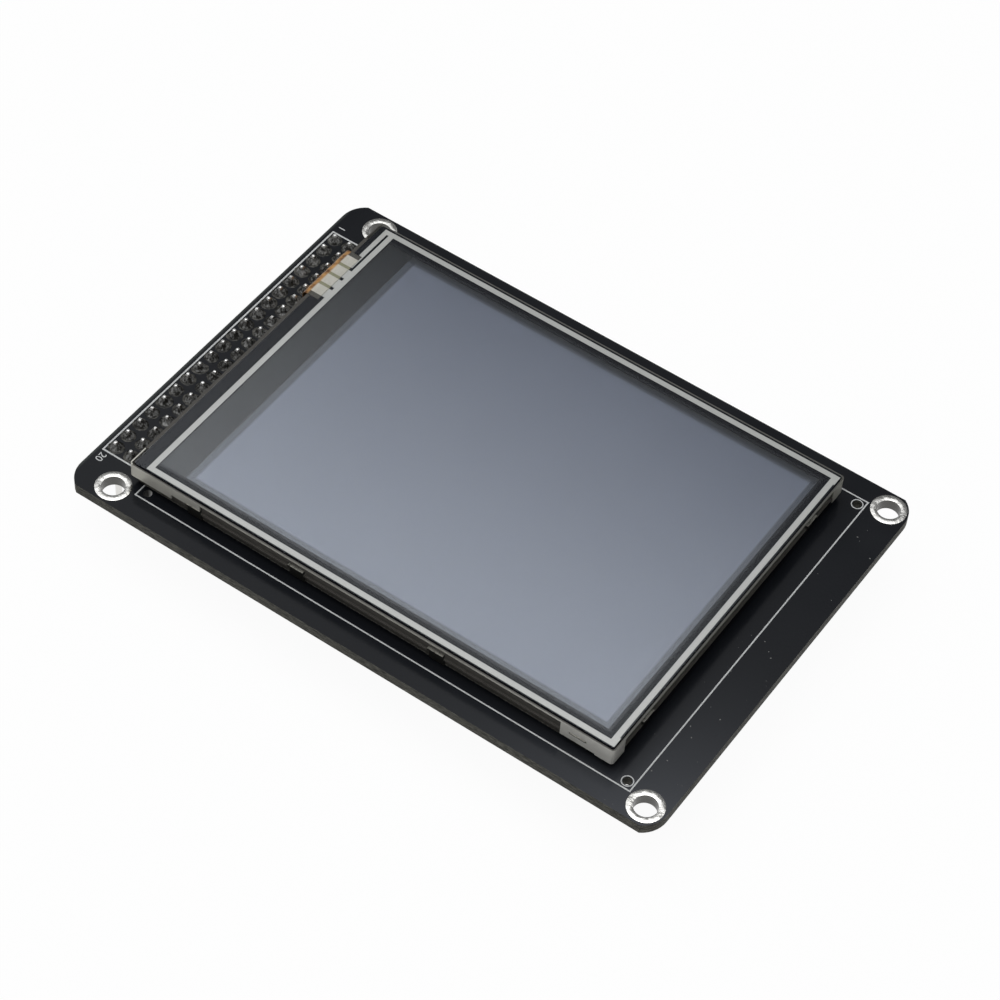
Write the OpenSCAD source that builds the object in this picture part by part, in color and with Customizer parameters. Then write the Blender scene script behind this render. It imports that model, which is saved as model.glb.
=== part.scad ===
// Touch display module: a colour display with a resistive touch panel on a
// black carrier board, with a two-row pin header and a memory card socket on the back.
// Origin: centre of the mounting hole pattern, on the underside of the board. +Z is the viewing side.
// The pin header is at the -X end.

/* [Circuit board] */
// Length of the board
board_length = 92.5; // [86:0.5:112]
// Width of the board
board_width = 64.6; // [62:0.2:80]
// Thickness of the board
board_thickness = 1.6; // [0.8:0.1:2.4]
// Radius of the routed corners
corner_radius = 4; // [2:0.5:6]
// Depth that scoring takes off each long side after the corners are routed
score_depth = 0.6; // [0:0.1:1.5]

/* [Mounting holes] */
// Hole spacing along the board
hole_spacing_x = 83.7; // [80:0.1:100]
// Hole spacing across the board
hole_spacing_y = 59; // [57:0.1:72]
// Clear bore of a mounting hole
hole_diameter = 3.2; // [2.2:0.1:4.2]
// Distance from the hole centres to the board end that has no header
hole_end_distance = 2.85; // [2.7:0.05:6]
// Diameter of the tinned ring around a hole
ring_diameter = 5; // [4.6:0.1:5.4]
// Height of the tinned ring above the board
ring_height = 0.1; // [0.05:0.01:0.2]
// Thickness of the copper and tin that lines a hole
plating = 0.05; // [0.03:0.01:0.1]

/* [Locating holes] */
// Diameter of the small locating holes
locating_diameter = 1.2; // [0.8:0.1:1.6]
// Spacing of the locating holes along the board
locating_spacing_x = 75.5; // [60:0.5:76]
// Spacing of the locating holes across the board
locating_spacing_y = 55.5; // [50:0.5:56]
// Distance from the header end of the board to the first pair
locating_end_distance = 10.3; // [9:0.1:14]

/* [Pin header] */
// Distance between neighbouring pins
pin_pitch = 2.54; // [2:0.54:2.54]
// Number of pins in each of the two rows
pins_per_row = 20; // [5:1:20]
// Side of a square pin
pin_side = 0.64; // [0.5:0.02:0.7]
// Distance from the board end to the outer row
pin_edge_distance = 2.05; // [1.6:0.05:3]
// Height that the pins stand above the board
pin_tail = 1.15; // [0.8:0.05:1.6]
// Length of the pins past the header moulding
pin_free_length = 6; // [3:0.5:9]
// Height of the header moulding
header_height = 2.54; // [1.5:0.02:3]
// Diameter of the hole for a pin
pin_hole = 1.1; // [1.02:0.02:1.2]
// Diameter of a solder joint at its foot
joint_diameter = 1.9; // [1.5:0.1:2.2]
// Height of a solder joint
joint_height = 0.95; // [0.6:0.05:1.1]

/* [Display] */
// Outer length of the display's steel frame
display_length = 76.05; // [72:0.05:92]
// Outer width of the display's steel frame
display_width = 55.3; // [54:0.1:67]
// Distance from the header end of the board to the frame
display_edge_distance = 7.35; // [7.2:0.05:8]
// Sideways shift of the display from the middle of the board
display_shift = -0.07; // [-0.5:0.01:0.5]
// Thickness of the foam tape between display and board
tape_thickness = 0.35; // [0.3:0.05:1]
// Width of each strip of foam tape
tape_width = 5; // [3:0.5:6]
// Thickness of the LCD glass sheets
lcd_glass = 0.5; // [0.3:0.05:0.7]
// Thickness of a polariser
polariser = 0.2; // [0.1:0.01:0.25]
// Width of the ledge of the lower glass that carries the driver chip
driver_ledge = 4; // [3.5:0.1:6]
// Length of the driver chip
driver_length = 18; // [12:0.5:22]
// Width of the driver chip
driver_width = 1.3; // [0.8:0.1:1.4]
// Thickness of the driver chip
driver_height = 0.3; // [0.2:0.05:0.4]

/* [Backlight] */
// Thickness of the light guide
guide_thickness = 0.8; // [0.5:0.05:1]
// Thickness of the mirror sheet and of the diffuser sheet
sheet_film = 0.1; // [0.05:0.01:0.15]
// Thickness of one prism sheet
prism_film = 0.06; // [0.05:0.01:0.1]
// Thickness of the back plate
plate_thickness = 0.15; // [0.1:0.01:0.3]
// Thickness of the dark tape under the LCD glass
rim_tape = 0.25; // [0.22:0.01:0.4]
// Number of light emitting diodes
led_count = 6; // [3:1:8]
// Length of one light emitting diode
led_length = 3.8; // [2:0.1:4.5]
// Height of one light emitting diode
led_height = 0.6; // [0.4:0.05:0.7]
// Wall of the moulded housing around the LCD glass
housing_wall = 0.9; // [0.7:0.05:1]
// Depth of the undercut in the housing's lower half
housing_undercut = 0.35; // [0.25:0.05:0.45]

/* [Steel frame] */
// Thickness of the frame's sheet steel
frame_sheet = 0.2; // [0.15:0.01:0.3]
// Outside corner radius of the frame
frame_corner = 0.5; // [0.4:0.05:1]
// Distance from the top of the touch panel down to the frame's rim
rim_drop = 0.3; // [0.3:0.05:0.6]
// Height of the rim strip where the wall is cut away
rim_strip = 0.35; // [0.25:0.05:0.6]
// Wall height at the header end
header_wall = 2.25; // [1.8:0.05:2.4]
// Length of the wall at the header end
header_wall_length = 6.95; // [4:0.05:10]
// Wall height of the shoulder beside it
shoulder_wall = 1.5; // [1.45:0.05:1.7]
// Length of the wall with its shoulder
shoulder_length = 11.65; // [11.6:0.05:16]
// Wall height at the far end
far_wall = 2.65; // [2.3:0.05:2.7]
// Length of the wall at the far end
far_wall_length = 7.9; // [6.8:0.05:12]
// Wall height of the two far corners
corner_wall = 2.85; // [2.7:0.05:2.9]
// Length of each far corner
corner_length = 2.7; // [2:0.1:4]
// Length of the wall round each header corner
header_corner = 3.3; // [2:0.1:6]
// Height of the moulded bead that shows between the frame's walls
bead_height = 0.3; // [0.2:0.05:0.4]

/* [Snap hooks] */
// Width of a hook
hook_width = 2.4; // [1.6:0.1:3]
// Height of a hook's nose
hook_nose = 0.15; // [0.1:0.01:0.2]
// Distance that a nose stands proud of the frame
hook_proud = 0.1; // [0.05:0.01:0.15]
// Distance from the touch panel's top down to the noses
hook_depth = 1.65; // [1.6:0.01:1.7]
// Distances of the first three hooks on the long sides from the header end of the frame
hook_places = [10.45, 27.15, 49.15]; // [8:0.05:60]
// Distance of the last hook on the long sides from the far end of the frame
far_hook_distance = 5.3; // [4.6:0.05:6]
// Distance of the hooks on the short side from the middle
hook_offset = 19.6; // [8:0.1:22]

/* [Touch panel] */
// Thickness of the touch panel's glass
touch_glass_thickness = 0.7; // [0.5:0.05:1.1]
// Thickness of the touch panel's top film
touch_film_thickness = 0.2; // [0.15:0.01:0.25]
// Thickness of the adhesive and silver ink between film and glass
ink_layer = 0.1; // [0.08:0.01:0.15]
// Thickness of the tape that holds the touch panel
touch_tape = 0.15; // [0.1:0.01:0.3]
// Gap between touch panel and frame at the header end
touch_header_gap = 0.4; // [0.2:0.05:0.8]
// Gap between touch panel and frame on the other sides
touch_gap = 0.08; // [0.05:0.01:0.2]
// Width of the silver bars
bar_width = 0.8; // [0.5:0.05:1]
// Margin outside the silver bars
bar_margin = 0.3; // [0.2:0.05:0.6]
// Margin outside the silver bar at the header end
bar_header_margin = 1.83; // [1.8:0.01:2.4]
// Width of the silver lead that runs beside that bar
lead_width = 0.7; // [0.4:0.05:0.8]
// Slit between the lead and the bar
lead_slit = 0.33; // [0.2:0.01:0.35]

/* [Touch flex] */
// Width of the touch panel's flexible tail
tail_width = 10; // [9:0.5:11]
// Distance of the tail's middle from the middle of the display
tail_offset = 15.65; // [15:0.05:20]
// Thickness of the tail's film
tail_film = 0.07; // [0.05:0.01:0.1]
// Thickness of the tail's conductors
tail_copper = 0.03; // [0.02:0.01:0.04]
// Width of a conductor on the tail
tail_finger = 1.7; // [1:0.1:1.9]
// Distance between neighbouring conductors
tail_pitch = 2.25; // [2:0.05:2.5]
// Outside radius of the tail's bend over the frame
tail_bend = 0.7; // [0.4:0.05:0.8]
// Distance from the frame out to the tail
tail_reach = 0.8; // [0.8:0.05:1.2]
// Length of the tail that lies on the board
tail_foot = 3.5; // [2:0.5:5]

/* [Display flex] */
// Width of the display's flexible tail
flex_width = 28; // [20:0.5:28]
// Distance of the tail's middle from the middle of the display
flex_offset = -6.5; // [-10:0.1:-6.5]
// Thickness of the tail
flex_thickness = 0.1; // [0.08:0.01:0.12]
// Length of the tail under the display
flex_run = 13; // [8:0.5:20]
// Distance between the soldered contacts
flex_pitch = 0.8; // [0.5:0.1:1]
// Width of a soldered contact
flex_contact = 0.45; // [0.2:0.05:0.6]
// Length of a soldered contact
flex_contact_length = 2.2; // [1:0.1:3]

/* [Card socket] */
// Width of the card slot
card_width = 24.3; // [24.1:0.1:25]
// Height of the card slot
card_height = 2.2; // [2.1:0.1:2.6]
// Length of the socket along the card
socket_length = 25; // [22:0.5:29]
// Thickness of the moulded floor and walls
socket_wall = 0.9; // [0.8:0.05:1.2]
// Thickness of the steel shell
shell_sheet = 0.2; // [0.15:0.01:0.3]
// Depth of the moulded block behind the card
socket_back = 3.5; // [3:0.1:5]
// Distance from the end of the board to the mouth of the socket
socket_inset = 1.4; // [0.2:0.1:3]
// Number of card contacts
card_contacts = 9; // [7:1:9]
// Distance between card contacts
contact_pitch = 2.5; // [2:0.1:2.5]
// Width of a contact spring
contact_width = 0.9; // [0.6:0.1:1.2]
// Thickness of a contact spring
contact_sheet = 0.15; // [0.1:0.01:0.2]

/* [Small components] */
// Places of the ceramic capacitors on the back, from the origin
capacitor_places = [[-27, 12], [-27, -1], [-17, 21], [-4, 21], [-4, -20], [6, 12]]; // [-38:1:24]
// First places of the three rows of resistors on the back, from the origin
resistor_rows = [[-34, 20], [-34, -9], [8, -9]]; // [-38:1:24]
// Number of resistors in each of those rows
resistor_counts = [3, 3, 2]; // [1:1:4]
// Distance between the resistors of a row
resistor_pitch = 3; // [1.5:0.5:4]
// Body of a ceramic capacitor: length, width, height
capacitor_size = [2, 1.25, 0.9]; // [0.5:0.05:3.2]
// Body of a resistor: length, width, height
resistor_size = [1.6, 0.8, 0.45]; // [0.4:0.05:3.2]
// Length of the tinned end of a capacitor or resistor
end_cap = 0.35; // [0.2:0.05:0.4]
// Thickness of a tinned end
end_tin = 0.03; // [0.02:0.01:0.05]
// Place of the touch controller
controller_place = [-20, 6]; // [-30:1:10]
// Place of the voltage regulator
regulator_place = [-10, -8]; // [-20:1:10]
// Place of the backlight transistor
transistor_place = [-27, -18]; // [-30:1:10]

/* [Hidden] */
$fn = 64;
cut = 0.01;

// Board
board_end = hole_spacing_x / 2 + hole_end_distance;
board_start = board_end - board_length;
lined_hole = hole_diameter + 2 * plating;
header_x = board_start + pin_edge_distance + pin_pitch / 2;
header_span = (pins_per_row - 1) * pin_pitch;

// Levels of the display's layers, above the board
film_play = 0.13;
plate_z = tape_thickness;
reflector_z = plate_z + plate_thickness;
guide_z = reflector_z + sheet_film;
diffuser_z = guide_z + guide_thickness;
prism_z = diffuser_z + sheet_film;
ledge_z = prism_z + 2 * prism_film + film_play;
lower_glass_z = ledge_z + rim_tape;
upper_glass_z = lower_glass_z + lcd_glass;
polariser_z = upper_glass_z + lcd_glass;
housing_top = polariser_z + polariser;
touch_z = housing_top + touch_tape;
ink_z = touch_z + touch_glass_thickness;
film_z = ink_z + ink_layer;
top_z = film_z + touch_film_thickness;
rim_z = top_z - rim_drop;

// Sizes of the display's layers: margins are from the outside of the steel frame
fit = 0.05;
sheet_fit = 0.1;
housing_lower_wall = 1.55;
housing_header_wall = 2.7;
housing_margin = frame_sheet + fit;
undercut_margin = housing_margin + housing_undercut;
housing_split = reflector_z + 1.1;
pocket_margin = housing_margin + housing_lower_wall;
pocket_header_margin = housing_margin + housing_header_wall;
film_margin = pocket_margin + sheet_fit;
glass_pocket = housing_margin + housing_wall;
glass_margin = glass_pocket + sheet_fit;
glass_header_margin = glass_pocket + 4 * sheet_fit;
upper_glass_start = glass_header_margin + driver_ledge;
polariser_margin = glass_margin + 0.45;
polariser_header_margin = upper_glass_start + 1.1;
led_width = 0.9;
led_case = 0.15;
led_start = pocket_header_margin + sheet_fit;
led_strip_width = 2.6;
guide_start = led_start + led_width + fit;
strip_end = led_start + led_strip_width;
window_end = glass_header_margin + sheet_fit;
touch_margin = frame_sheet + touch_gap;
touch_header_margin = frame_sheet + touch_header_gap;
touch_corner = frame_corner - frame_sheet;

// Printed silver of the touch panel, and its tail
bar_start = touch_header_margin + bar_header_margin;
comb_gap = 0.55;
bar_tab = 1.6;
ink_fit = 0.05;
slot_fit = 0.1;
adhesive_width = 1.1;
adhesive_header_width = 0.1;
tape_header_margin = polariser_header_margin + 0.3;
tail_inner = bar_start - comb_gap;
lead_start = bar_start - lead_slit - lead_width;
tail_fingers = 4;
tail_foot_radius = tail_bend + tail_film + tail_copper;

// Display flex, folded round the header end and laid on the board
flex_gap = 0.15;
flex_grip = 1.5;
flex_step = 0.5;
flex_pad = 3.5;
flex_inset = 0.4;
contact_height = 0.06;
flex_bend_x = glass_header_margin - sheet_fit / 2;
flex_end_x = flex_bend_x + flex_run;

// Steel frame, snap hooks and the bead between the frame's walls
corner_z = rim_z - corner_wall;
no_rim = -1;
hook_z = top_z - hook_depth - hook_nose;
hook_fit = 0.1;
hook_window_fit = 0.05;
long_side_hooks = concat(hook_places, [display_length - far_hook_distance]);
bead_z = hook_z - 0.55;

// Card socket: X from its mouth, Z from the board down
socket_end = board_end - socket_inset;
socket_width = card_width + 2 * socket_wall;
contact_floor = 0.7;
socket_height = contact_floor + card_height;
bay_length = socket_length - socket_back;
mouth_bevel = [1.2, 0.35];
contact_slot_fit = 0.1;
contact_slot_start = socket_length * 0.45;
well_size = [6, 8];
well_start = 2.5;
shell_inset = 0.3;
shell_length = socket_length - 2 * shell_inset;
tab_size = [2.4, 1];
tab_places = [2, socket_length - 5];
thumb_radius = 5;
spring_window = [7, 3];
spring_window_start = 8;
spring_window_offset = 6.5;
sight_hole = 1.2;
latch_window = [2.5, 0.8];
latch_places = [9, 16];

// One card contact: a tail on the board, a run through the floor and a bowed tip
contact_tail = 1.2;
contact_run_z = 0.35;
contact_crown_z = contact_floor + 0.45;
contact_tip_z = contact_floor - 0.1;

// Chip packages
controller_leads = 8;
controller_pitch = 0.65;
controller_size = [5, 4.4, 1];
controller_dot = 0.6;
regulator_size = [6.5, 3.5, 1.6];
regulator_pitch = 2.3;
regulator_tab = 3;
transistor_size = [2.9, 1.3, 1];
transistor_pitch = 1.9;
lead_gauge = 0.15;
standoff = 0.1;

// Foam tape
tape_end_gap = 3;

// ---------------------------------------------------------------- helpers

// Rectangle from x0 to x1, width w across Y, with round corners
module round_plate(x0, x1, w, r) {
    translate([x0 + r, -w / 2]) square([x1 - x0 - 2 * r, w]);
    translate([x0, -w / 2 + r]) square([x1 - x0, w - 2 * r]);
    for (x = [x0 + r, x1 - r], y = [-w / 2 + r, w / 2 - r]) translate([x, y]) circle(r);
}

// Rectangle inside the display's outline, by its margins at the header end and elsewhere
module inset_plate(header_margin, margin, r = 0) {
    if (r > 0) round_plate(header_margin, display_length - margin, display_width - 2 * margin, r);
    else translate([header_margin, margin - display_width / 2])
        square([display_length - header_margin - margin, display_width - 2 * margin]);
}

// Moves a shape to the display's place: X from its header end, Z from the board's top
module at_display(z = 0) {
    translate([board_start + display_edge_distance, display_shift, board_thickness + z]) children();
}

// One layer of the display
module layer(z, thickness) {
    at_display(z) linear_extrude(thickness) children();
}

// A profile drawn in X and Z, extruded across Y about its middle
module across(width) {
    rotate([90, 0, 0]) translate([0, 0, -width / 2]) linear_extrude(width) children();
}

// Turns a part over onto the board's underside, at a place
module on_back(place) {
    translate([place[0], place[1], 0]) mirror([0, 0, 1]) children();
}

// Places of the hooks: along the long sides, then on the short far side
module at_hooks() {
    for (side = [-1, 1], x = long_side_hooks)
        translate([x, side * (display_width / 2 - frame_sheet)]) rotate(side * 90) children();
    for (side = [-1, 1])
        translate([display_length - frame_sheet, side * hook_offset]) children();
}

// A moulded chip body with drafted sides
module chip_body(size, draft = 0.12) {
    half = size[2] / 2;
    intersection() {
        across(size[1]) polygon([
            [-size[0] / 2 + draft, 0], [size[0] / 2 - draft, 0], [size[0] / 2, half],
            [size[0] / 2 - draft, size[2]], [-size[0] / 2 + draft, size[2]], [-size[0] / 2, half]
        ]);
        rotate(90) across(size[0]) polygon([
            [-size[1] / 2 + draft, 0], [size[1] / 2 - draft, 0], [size[1] / 2, half],
            [size[1] / 2 - draft, size[2]], [-size[1] / 2 + draft, size[2]], [-size[1] / 2, half]
        ]);
    }
}

// A gull-wing lead that leaves a body of this height at X = 0, halfway up, and stands on the board
module gull_lead(body_height, width, reach, foot) {
    z = standoff + (body_height - lead_gauge) / 2;
    across(width) polygon([
        [0, z], [0, z + lead_gauge], [reach + lead_gauge, z + lead_gauge],
        [reach + lead_gauge, lead_gauge], [reach + foot, lead_gauge], [reach + foot, 0],
        [reach, 0], [reach, z]
    ]);
}

// ---------------------------------------------------------------- board

module board_outline() {
    intersection() {
        round_plate(board_start, board_end, board_width + 2 * score_depth, corner_radius);
        translate([board_start, -board_width / 2]) square([board_length, board_width]);
    }
}

module at_mounting_holes() {
    for (x = [-1, 1], y = [-1, 1])
        translate([x * hole_spacing_x / 2, y * hole_spacing_y / 2]) children();
}

// A drill through the whole board
module board_drill(diameter) {
    translate([0, 0, -1]) cylinder(h = board_thickness + 2, d = diameter);
}

module at_locating_holes() {
    for (x = [0, locating_spacing_x], y = [-1, 1])
        translate([board_start + locating_end_distance + x, y * locating_spacing_y / 2]) children();
}

module at_pins() {
    for (row = [-0.5, 0.5], i = [0 : pins_per_row - 1])
        translate([header_x + row * pin_pitch, i * pin_pitch - header_span / 2]) children();
}

module circuit_board() {
    color("#232427") difference() {
        linear_extrude(board_thickness) board_outline();
        at_mounting_holes() board_drill(lined_hole);
        at_locating_holes() board_drill(locating_diameter);
        at_pins() board_drill(pin_hole);
    }
}

// Half section of a plated hole: a lined bore with a domed ring on each face
module ring_profile() {
    bore = hole_diameter / 2;
    edge = ring_diameter / 2;
    lining = bore + plating;
    slope = (edge - bore) / 3;
    top = board_thickness + ring_height;
    shoulder = board_thickness + ring_height / 3;
    polygon([
        [bore, -ring_height / 3], [bore + slope, -ring_height], [edge - slope, -ring_height],
        [edge, -ring_height / 3], [edge, 0], [lining, 0], [lining, board_thickness],
        [edge, board_thickness], [edge, shoulder], [edge - slope, top], [bore + slope, top],
        [bore, shoulder]
    ]);
}

module mounting_rings() {
    color("#c9c8c3") at_mounting_holes() rotate_extrude() ring_profile();
}

// ---------------------------------------------------------------- pin header

// One position of the moulding, with its corners cut off
module header_cell() {
    chamfer = 0.4;
    long = pin_pitch;
    short = pin_pitch / 2;
    polygon([
        [-long, chamfer - short], [chamfer - long, -short], [long - chamfer, -short],
        [long, chamfer - short], [long, short - chamfer], [long - chamfer, short],
        [chamfer - long, short], [-long, short - chamfer]
    ]);
}

module header_body() {
    color("#1b1b1c") difference() {
        translate([header_x, 0, -header_height]) linear_extrude(header_height)
            for (i = [0 : pins_per_row - 1])
                translate([0, i * pin_pitch - header_span / 2]) header_cell();
        at_pins() translate([-pin_side / 2, -pin_side / 2, -header_height - 1])
            cube([pin_side, pin_side, header_height + 2]);
    }
}

// Side view of a square pin with tapered ends
module pin_profile() {
    low = -header_height - pin_free_length;
    high = board_thickness + pin_tail;
    half = pin_side / 2;
    tip = pin_side / 4;
    taper = pin_side * 0.7;
    polygon([
        [-half, low + taper], [-tip, low], [tip, low], [half, low + taper],
        [half, high - taper / 2], [tip, high], [-tip, high], [-half, high - taper / 2]
    ]);
}

module header_pins() {
    color("#c8b270") at_pins() intersection() {
        across(pin_side) pin_profile();
        rotate(90) across(pin_side) pin_profile();
    }
}

// Half section of a solder joint: it fills the hole and climbs the pin in a hollow cone
module solder_profile() {
    foot = joint_diameter / 2;
    neck = pin_side * 0.75;
    base = board_thickness;
    polygon(concat(
        [[0, base + joint_height], [0, 0], [pin_hole / 2, 0], [pin_hole / 2, base]],
        [for (t = [0 : 0.125 : 1]) [neck + (foot - neck) * pow(1 - t, 2.2), base + joint_height * t]]
    ));
}

module header_solder() {
    color("#b9bab8") at_pins() difference() {
        rotate_extrude() solder_profile();
        translate([-pin_side / 2, -pin_side / 2, -1])
            cube([pin_side, pin_side, board_thickness + joint_height + 2]);
    }
}

// ---------------------------------------------------------------- card socket

// Places of the contact springs, across the card
function contact_y(i) = (i - (card_contacts - 1) / 2) * contact_pitch;

// Moves a shape to the socket: X from its mouth inwards, Z down from the board
module at_socket() {
    translate([socket_end, 0, 0]) mirror([1, 0, 0]) mirror([0, 0, 1]) children();
}

module card_socket_base() {
    color("#1d1d1f") at_socket() difference() {
        translate([0, -socket_width / 2, 0]) cube([socket_length, socket_width, socket_height]);
        // the card's bay, open at the mouth
        translate([-1, -card_width / 2, contact_floor]) cube([bay_length + 1, card_width, card_height + 1]);
        // lead-in at the mouth
        translate([-cut, 0, contact_floor]) across(card_width)
            polygon([[0, cut], [0, -mouth_bevel[1]], [mouth_bevel[0], 0], [mouth_bevel[0], cut]]);
        // one slot through floor and back wall for each contact
        for (i = [0 : card_contacts - 1])
            translate([contact_slot_start, contact_y(i) - contact_width / 2 - contact_slot_fit, -1])
                cube([socket_length, contact_width + 2 * contact_slot_fit, contact_floor + 1 + cut]);
        // weight-saving wells in the floor
        for (side = [-1, 1]) translate([well_start, side * card_width / 4 - well_size[1] / 2, -1])
            cube([well_size[0], well_size[1], contact_floor + 2]);
    }
}

// The shell's two skirts and solder tabs, one set on each side
module shell_sides() {
    skirt_y = (socket_width + shell_sheet) / 2;
    for (side = [-1, 1]) {
        translate([shell_inset, side * skirt_y - shell_sheet / 2, shell_inset])
            cube([shell_length, shell_sheet, socket_height - shell_inset]);
        for (x = tab_places) {
            translate([x, side * skirt_y - shell_sheet / 2, 0])
                cube([tab_size[0], shell_sheet, shell_inset + cut]);
            translate([x, side * (skirt_y + (shell_sheet + tab_size[1]) / 2) - tab_size[1] / 2, 0])
                cube([tab_size[0], tab_size[1], shell_sheet]);
        }
    }
}

module card_socket_shell() {
    color("#b4b5b3") at_socket() difference() {
        union() {
            translate([shell_inset, -socket_width / 2 - shell_sheet, socket_height])
                cube([shell_length, socket_width + 2 * shell_sheet, shell_sheet]);
            shell_sides();
        }
        translate([0, 0, socket_height - cut]) {
            // thumb notch at the mouth
            translate([shell_inset, 0]) cylinder(h = 1, r = thumb_radius);
            // two spring windows and a row of sight holes over the contacts
            for (side = [-1, 1])
                translate([spring_window_start, side * spring_window_offset - spring_window[1] / 2])
                    cube([spring_window[0], spring_window[1], 1]);
            for (i = [0 : card_contacts - 1])
                translate([bay_length - 2 * sight_hole, contact_y(i)]) cylinder(h = 1, d = sight_hole);
        }
        // latch windows in the skirts
        for (side = [-1, 1], x = latch_places)
            translate([x, side * socket_width / 2 - 1, 1]) cube([latch_window[0], 2, latch_window[1]]);
    }
}

// Side view of one contact, drawn as a line with the sheet's thickness above it
module contact_profile() {
    t = contact_sheet;
    line = [
        [socket_length + contact_tail, 0], [socket_length - 0.3, 0], [socket_length - 0.6, contact_run_z],
        [bay_length - 3, contact_run_z], [bay_length - 6, contact_crown_z],
        [bay_length - 7, contact_crown_z], [bay_length - 7.7, contact_tip_z]
    ];
    last = len(line) - 1;
    polygon(concat(line, [for (i = [last : -1 : 0]) line[i] + [0, t]]));
}

module card_socket_contacts() {
    color("#c9a24f") at_socket() for (i = [0 : card_contacts - 1])
        translate([0, contact_y(i), 0]) across(contact_width) contact_profile();
}

// ---------------------------------------------------------------- chips on the back

module touch_controller() {
    color("#222325") on_back(controller_place) difference() {
        translate([0, 0, standoff]) chip_body(controller_size);
        // dimple beside the first lead
        translate([1 - controller_size[0] / 2, 1 - controller_size[1] / 2, controller_size[2]])
            cylinder(h = 1, d = controller_dot);
    }
}

module touch_controller_leads() {
    color("#b9b9b6") on_back(controller_place) for (side = [-1, 1], i = [0 : controller_leads - 1])
        translate([(i - (controller_leads - 1) / 2) * controller_pitch, side * controller_size[1] / 2, 0])
            rotate(side * 90) gull_lead(controller_size[2], width = 0.24, reach = 0.45, foot = 0.55);
}

module voltage_regulator() {
    color("#222325") on_back(regulator_place)
        translate([0, 0, standoff]) chip_body(regulator_size, draft = 0.2);
}

// Three leads on one side and a broad cooling tab on the other
module regulator_leads() {
    side = regulator_size[1] / 2;
    color("#b9b9b6") on_back(regulator_place) {
        for (i = [-1, 0, 1]) translate([i * regulator_pitch, -side, 0])
            rotate(-90) gull_lead(regulator_size[2], width = 0.7, reach = 0.6, foot = 1);
        translate([0, side, 0])
            rotate(90) gull_lead(regulator_size[2], width = regulator_tab, reach = 0.6, foot = 1.1);
    }
}

module backlight_transistor() {
    color("#222325") on_back(transistor_place)
        translate([0, 0, standoff]) chip_body(transistor_size, draft = 0.1);
}

module transistor_leads() {
    color("#b9b9b6") on_back(transistor_place)
        for (place = [[-0.5, -1], [0.5, -1], [0, 1]])
            translate([place[0] * transistor_pitch, place[1] * transistor_size[1] / 2, 0])
                rotate(place[1] * 90) gull_lead(transistor_size[2], width = 0.4, reach = 0.35, foot = 0.5);
}

// Plain block on the board, centred on its place
module block(size, lift = 0) {
    translate([-size[0] / 2, -size[1] / 2, lift]) cube(size);
}

// Two tinned ends wrapped around the ends of a block
module block_ends(size) {
    difference() {
        for (side = [-1, 1]) translate([side * (size[0] / 2 + end_tin - end_cap / 2), 0, 0])
            block([end_cap, size[1] + 2 * end_tin, size[2] + 2 * end_tin]);
        block(size, end_tin);
    }
}

module at_capacitors() {
    for (place = capacitor_places) on_back(place) children();
}

module at_resistors() {
    for (row = [0 : len(resistor_rows) - 1], i = [0 : resistor_counts[row] - 1])
        on_back(resistor_rows[row] - [0, i * resistor_pitch]) children();
}

module capacitors() {
    color("#a98c6b") at_capacitors() block(capacitor_size, end_tin);
}

module capacitor_ends() {
    color("#c4c4c0") at_capacitors() block_ends(capacitor_size);
}

module resistors() {
    color("#2a2a2c") at_resistors() block(resistor_size, end_tin);
}

module resistor_ends() {
    color("#c4c4c0") at_resistors() block_ends(resistor_size);
}

// ---------------------------------------------------------------- backlight

module foam_tape() {
    start = pocket_margin + tape_end_gap;
    color("#dedbd2") layer(0, tape_thickness) for (side = [0, 1]) mirror([0, side])
        translate([start, display_width / 2 - pocket_margin - tape_width])
            square([display_length - 2 * start, tape_width]);
}

// A hook seen from its end: up outside the housing's undercut, then a nose outwards.
// X = 0 is the inside face of the frame's sheet.
module hook_profile() {
    root = -fit - housing_undercut;
    nose = frame_sheet + hook_proud;
    polygon([
        [root - 1, plate_z], [root + plate_thickness, plate_z], [root + plate_thickness, hook_z],
        [nose - fit, hook_z], [nose, hook_z + fit], [nose - fit, hook_z + hook_nose],
        [root, hook_z + hook_nose], [root, plate_z + plate_thickness], [root - 1, plate_z + plate_thickness]
    ]);
}

// Stamped back plate whose hooks snap through the housing and the frame
module back_plate() {
    color("#a9a8a4") {
        layer(plate_z, plate_thickness)
            inset_plate(window_end, undercut_margin, frame_corner);
        at_display() at_hooks() across(hook_width) hook_profile();
    }
}

module reflector_sheet() {
    color("#f2f2f0") layer(reflector_z, sheet_film) inset_plate(led_start, film_margin);
}

module light_guide() {
    color("#dfe8ea") layer(guide_z, guide_thickness) inset_plate(guide_start, film_margin);
}

module led_strip() {
    width = display_width - 2 * film_margin;
    color("#d9c27a") layer(diffuser_z, sheet_film)
        translate([led_start, -width / 2]) square([led_strip_width, width]);
}

// Side-view light emitting diodes, each with a lit window that faces the light guide
module leds() {
    span = display_width - 2 * pocket_margin - 2 * led_length;
    color("#f0e6a0") at_display(diffuser_z - led_height) for (i = [0 : led_count - 1])
        translate([led_start, (i / (led_count - 1) - 0.5) * span - led_length / 2, 0]) difference() {
            cube([led_width, led_length, led_height]);
            translate([led_width - led_case, 2 * led_case, led_case])
                cube([1, led_length - 4 * led_case, led_height - 2 * led_case]);
        }
}

module diffuser_sheet() {
    color("#eef0ee") layer(diffuser_z, sheet_film) inset_plate(strip_end + sheet_fit, film_margin);
}

module lower_prism_sheet() {
    color("#dfe4e6") layer(prism_z, prism_film) inset_plate(strip_end + sheet_fit, film_margin);
}

module upper_prism_sheet() {
    color("#dfe4e6") layer(prism_z + prism_film, prism_film)
        inset_plate(strip_end + sheet_fit, film_margin);
}

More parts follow.
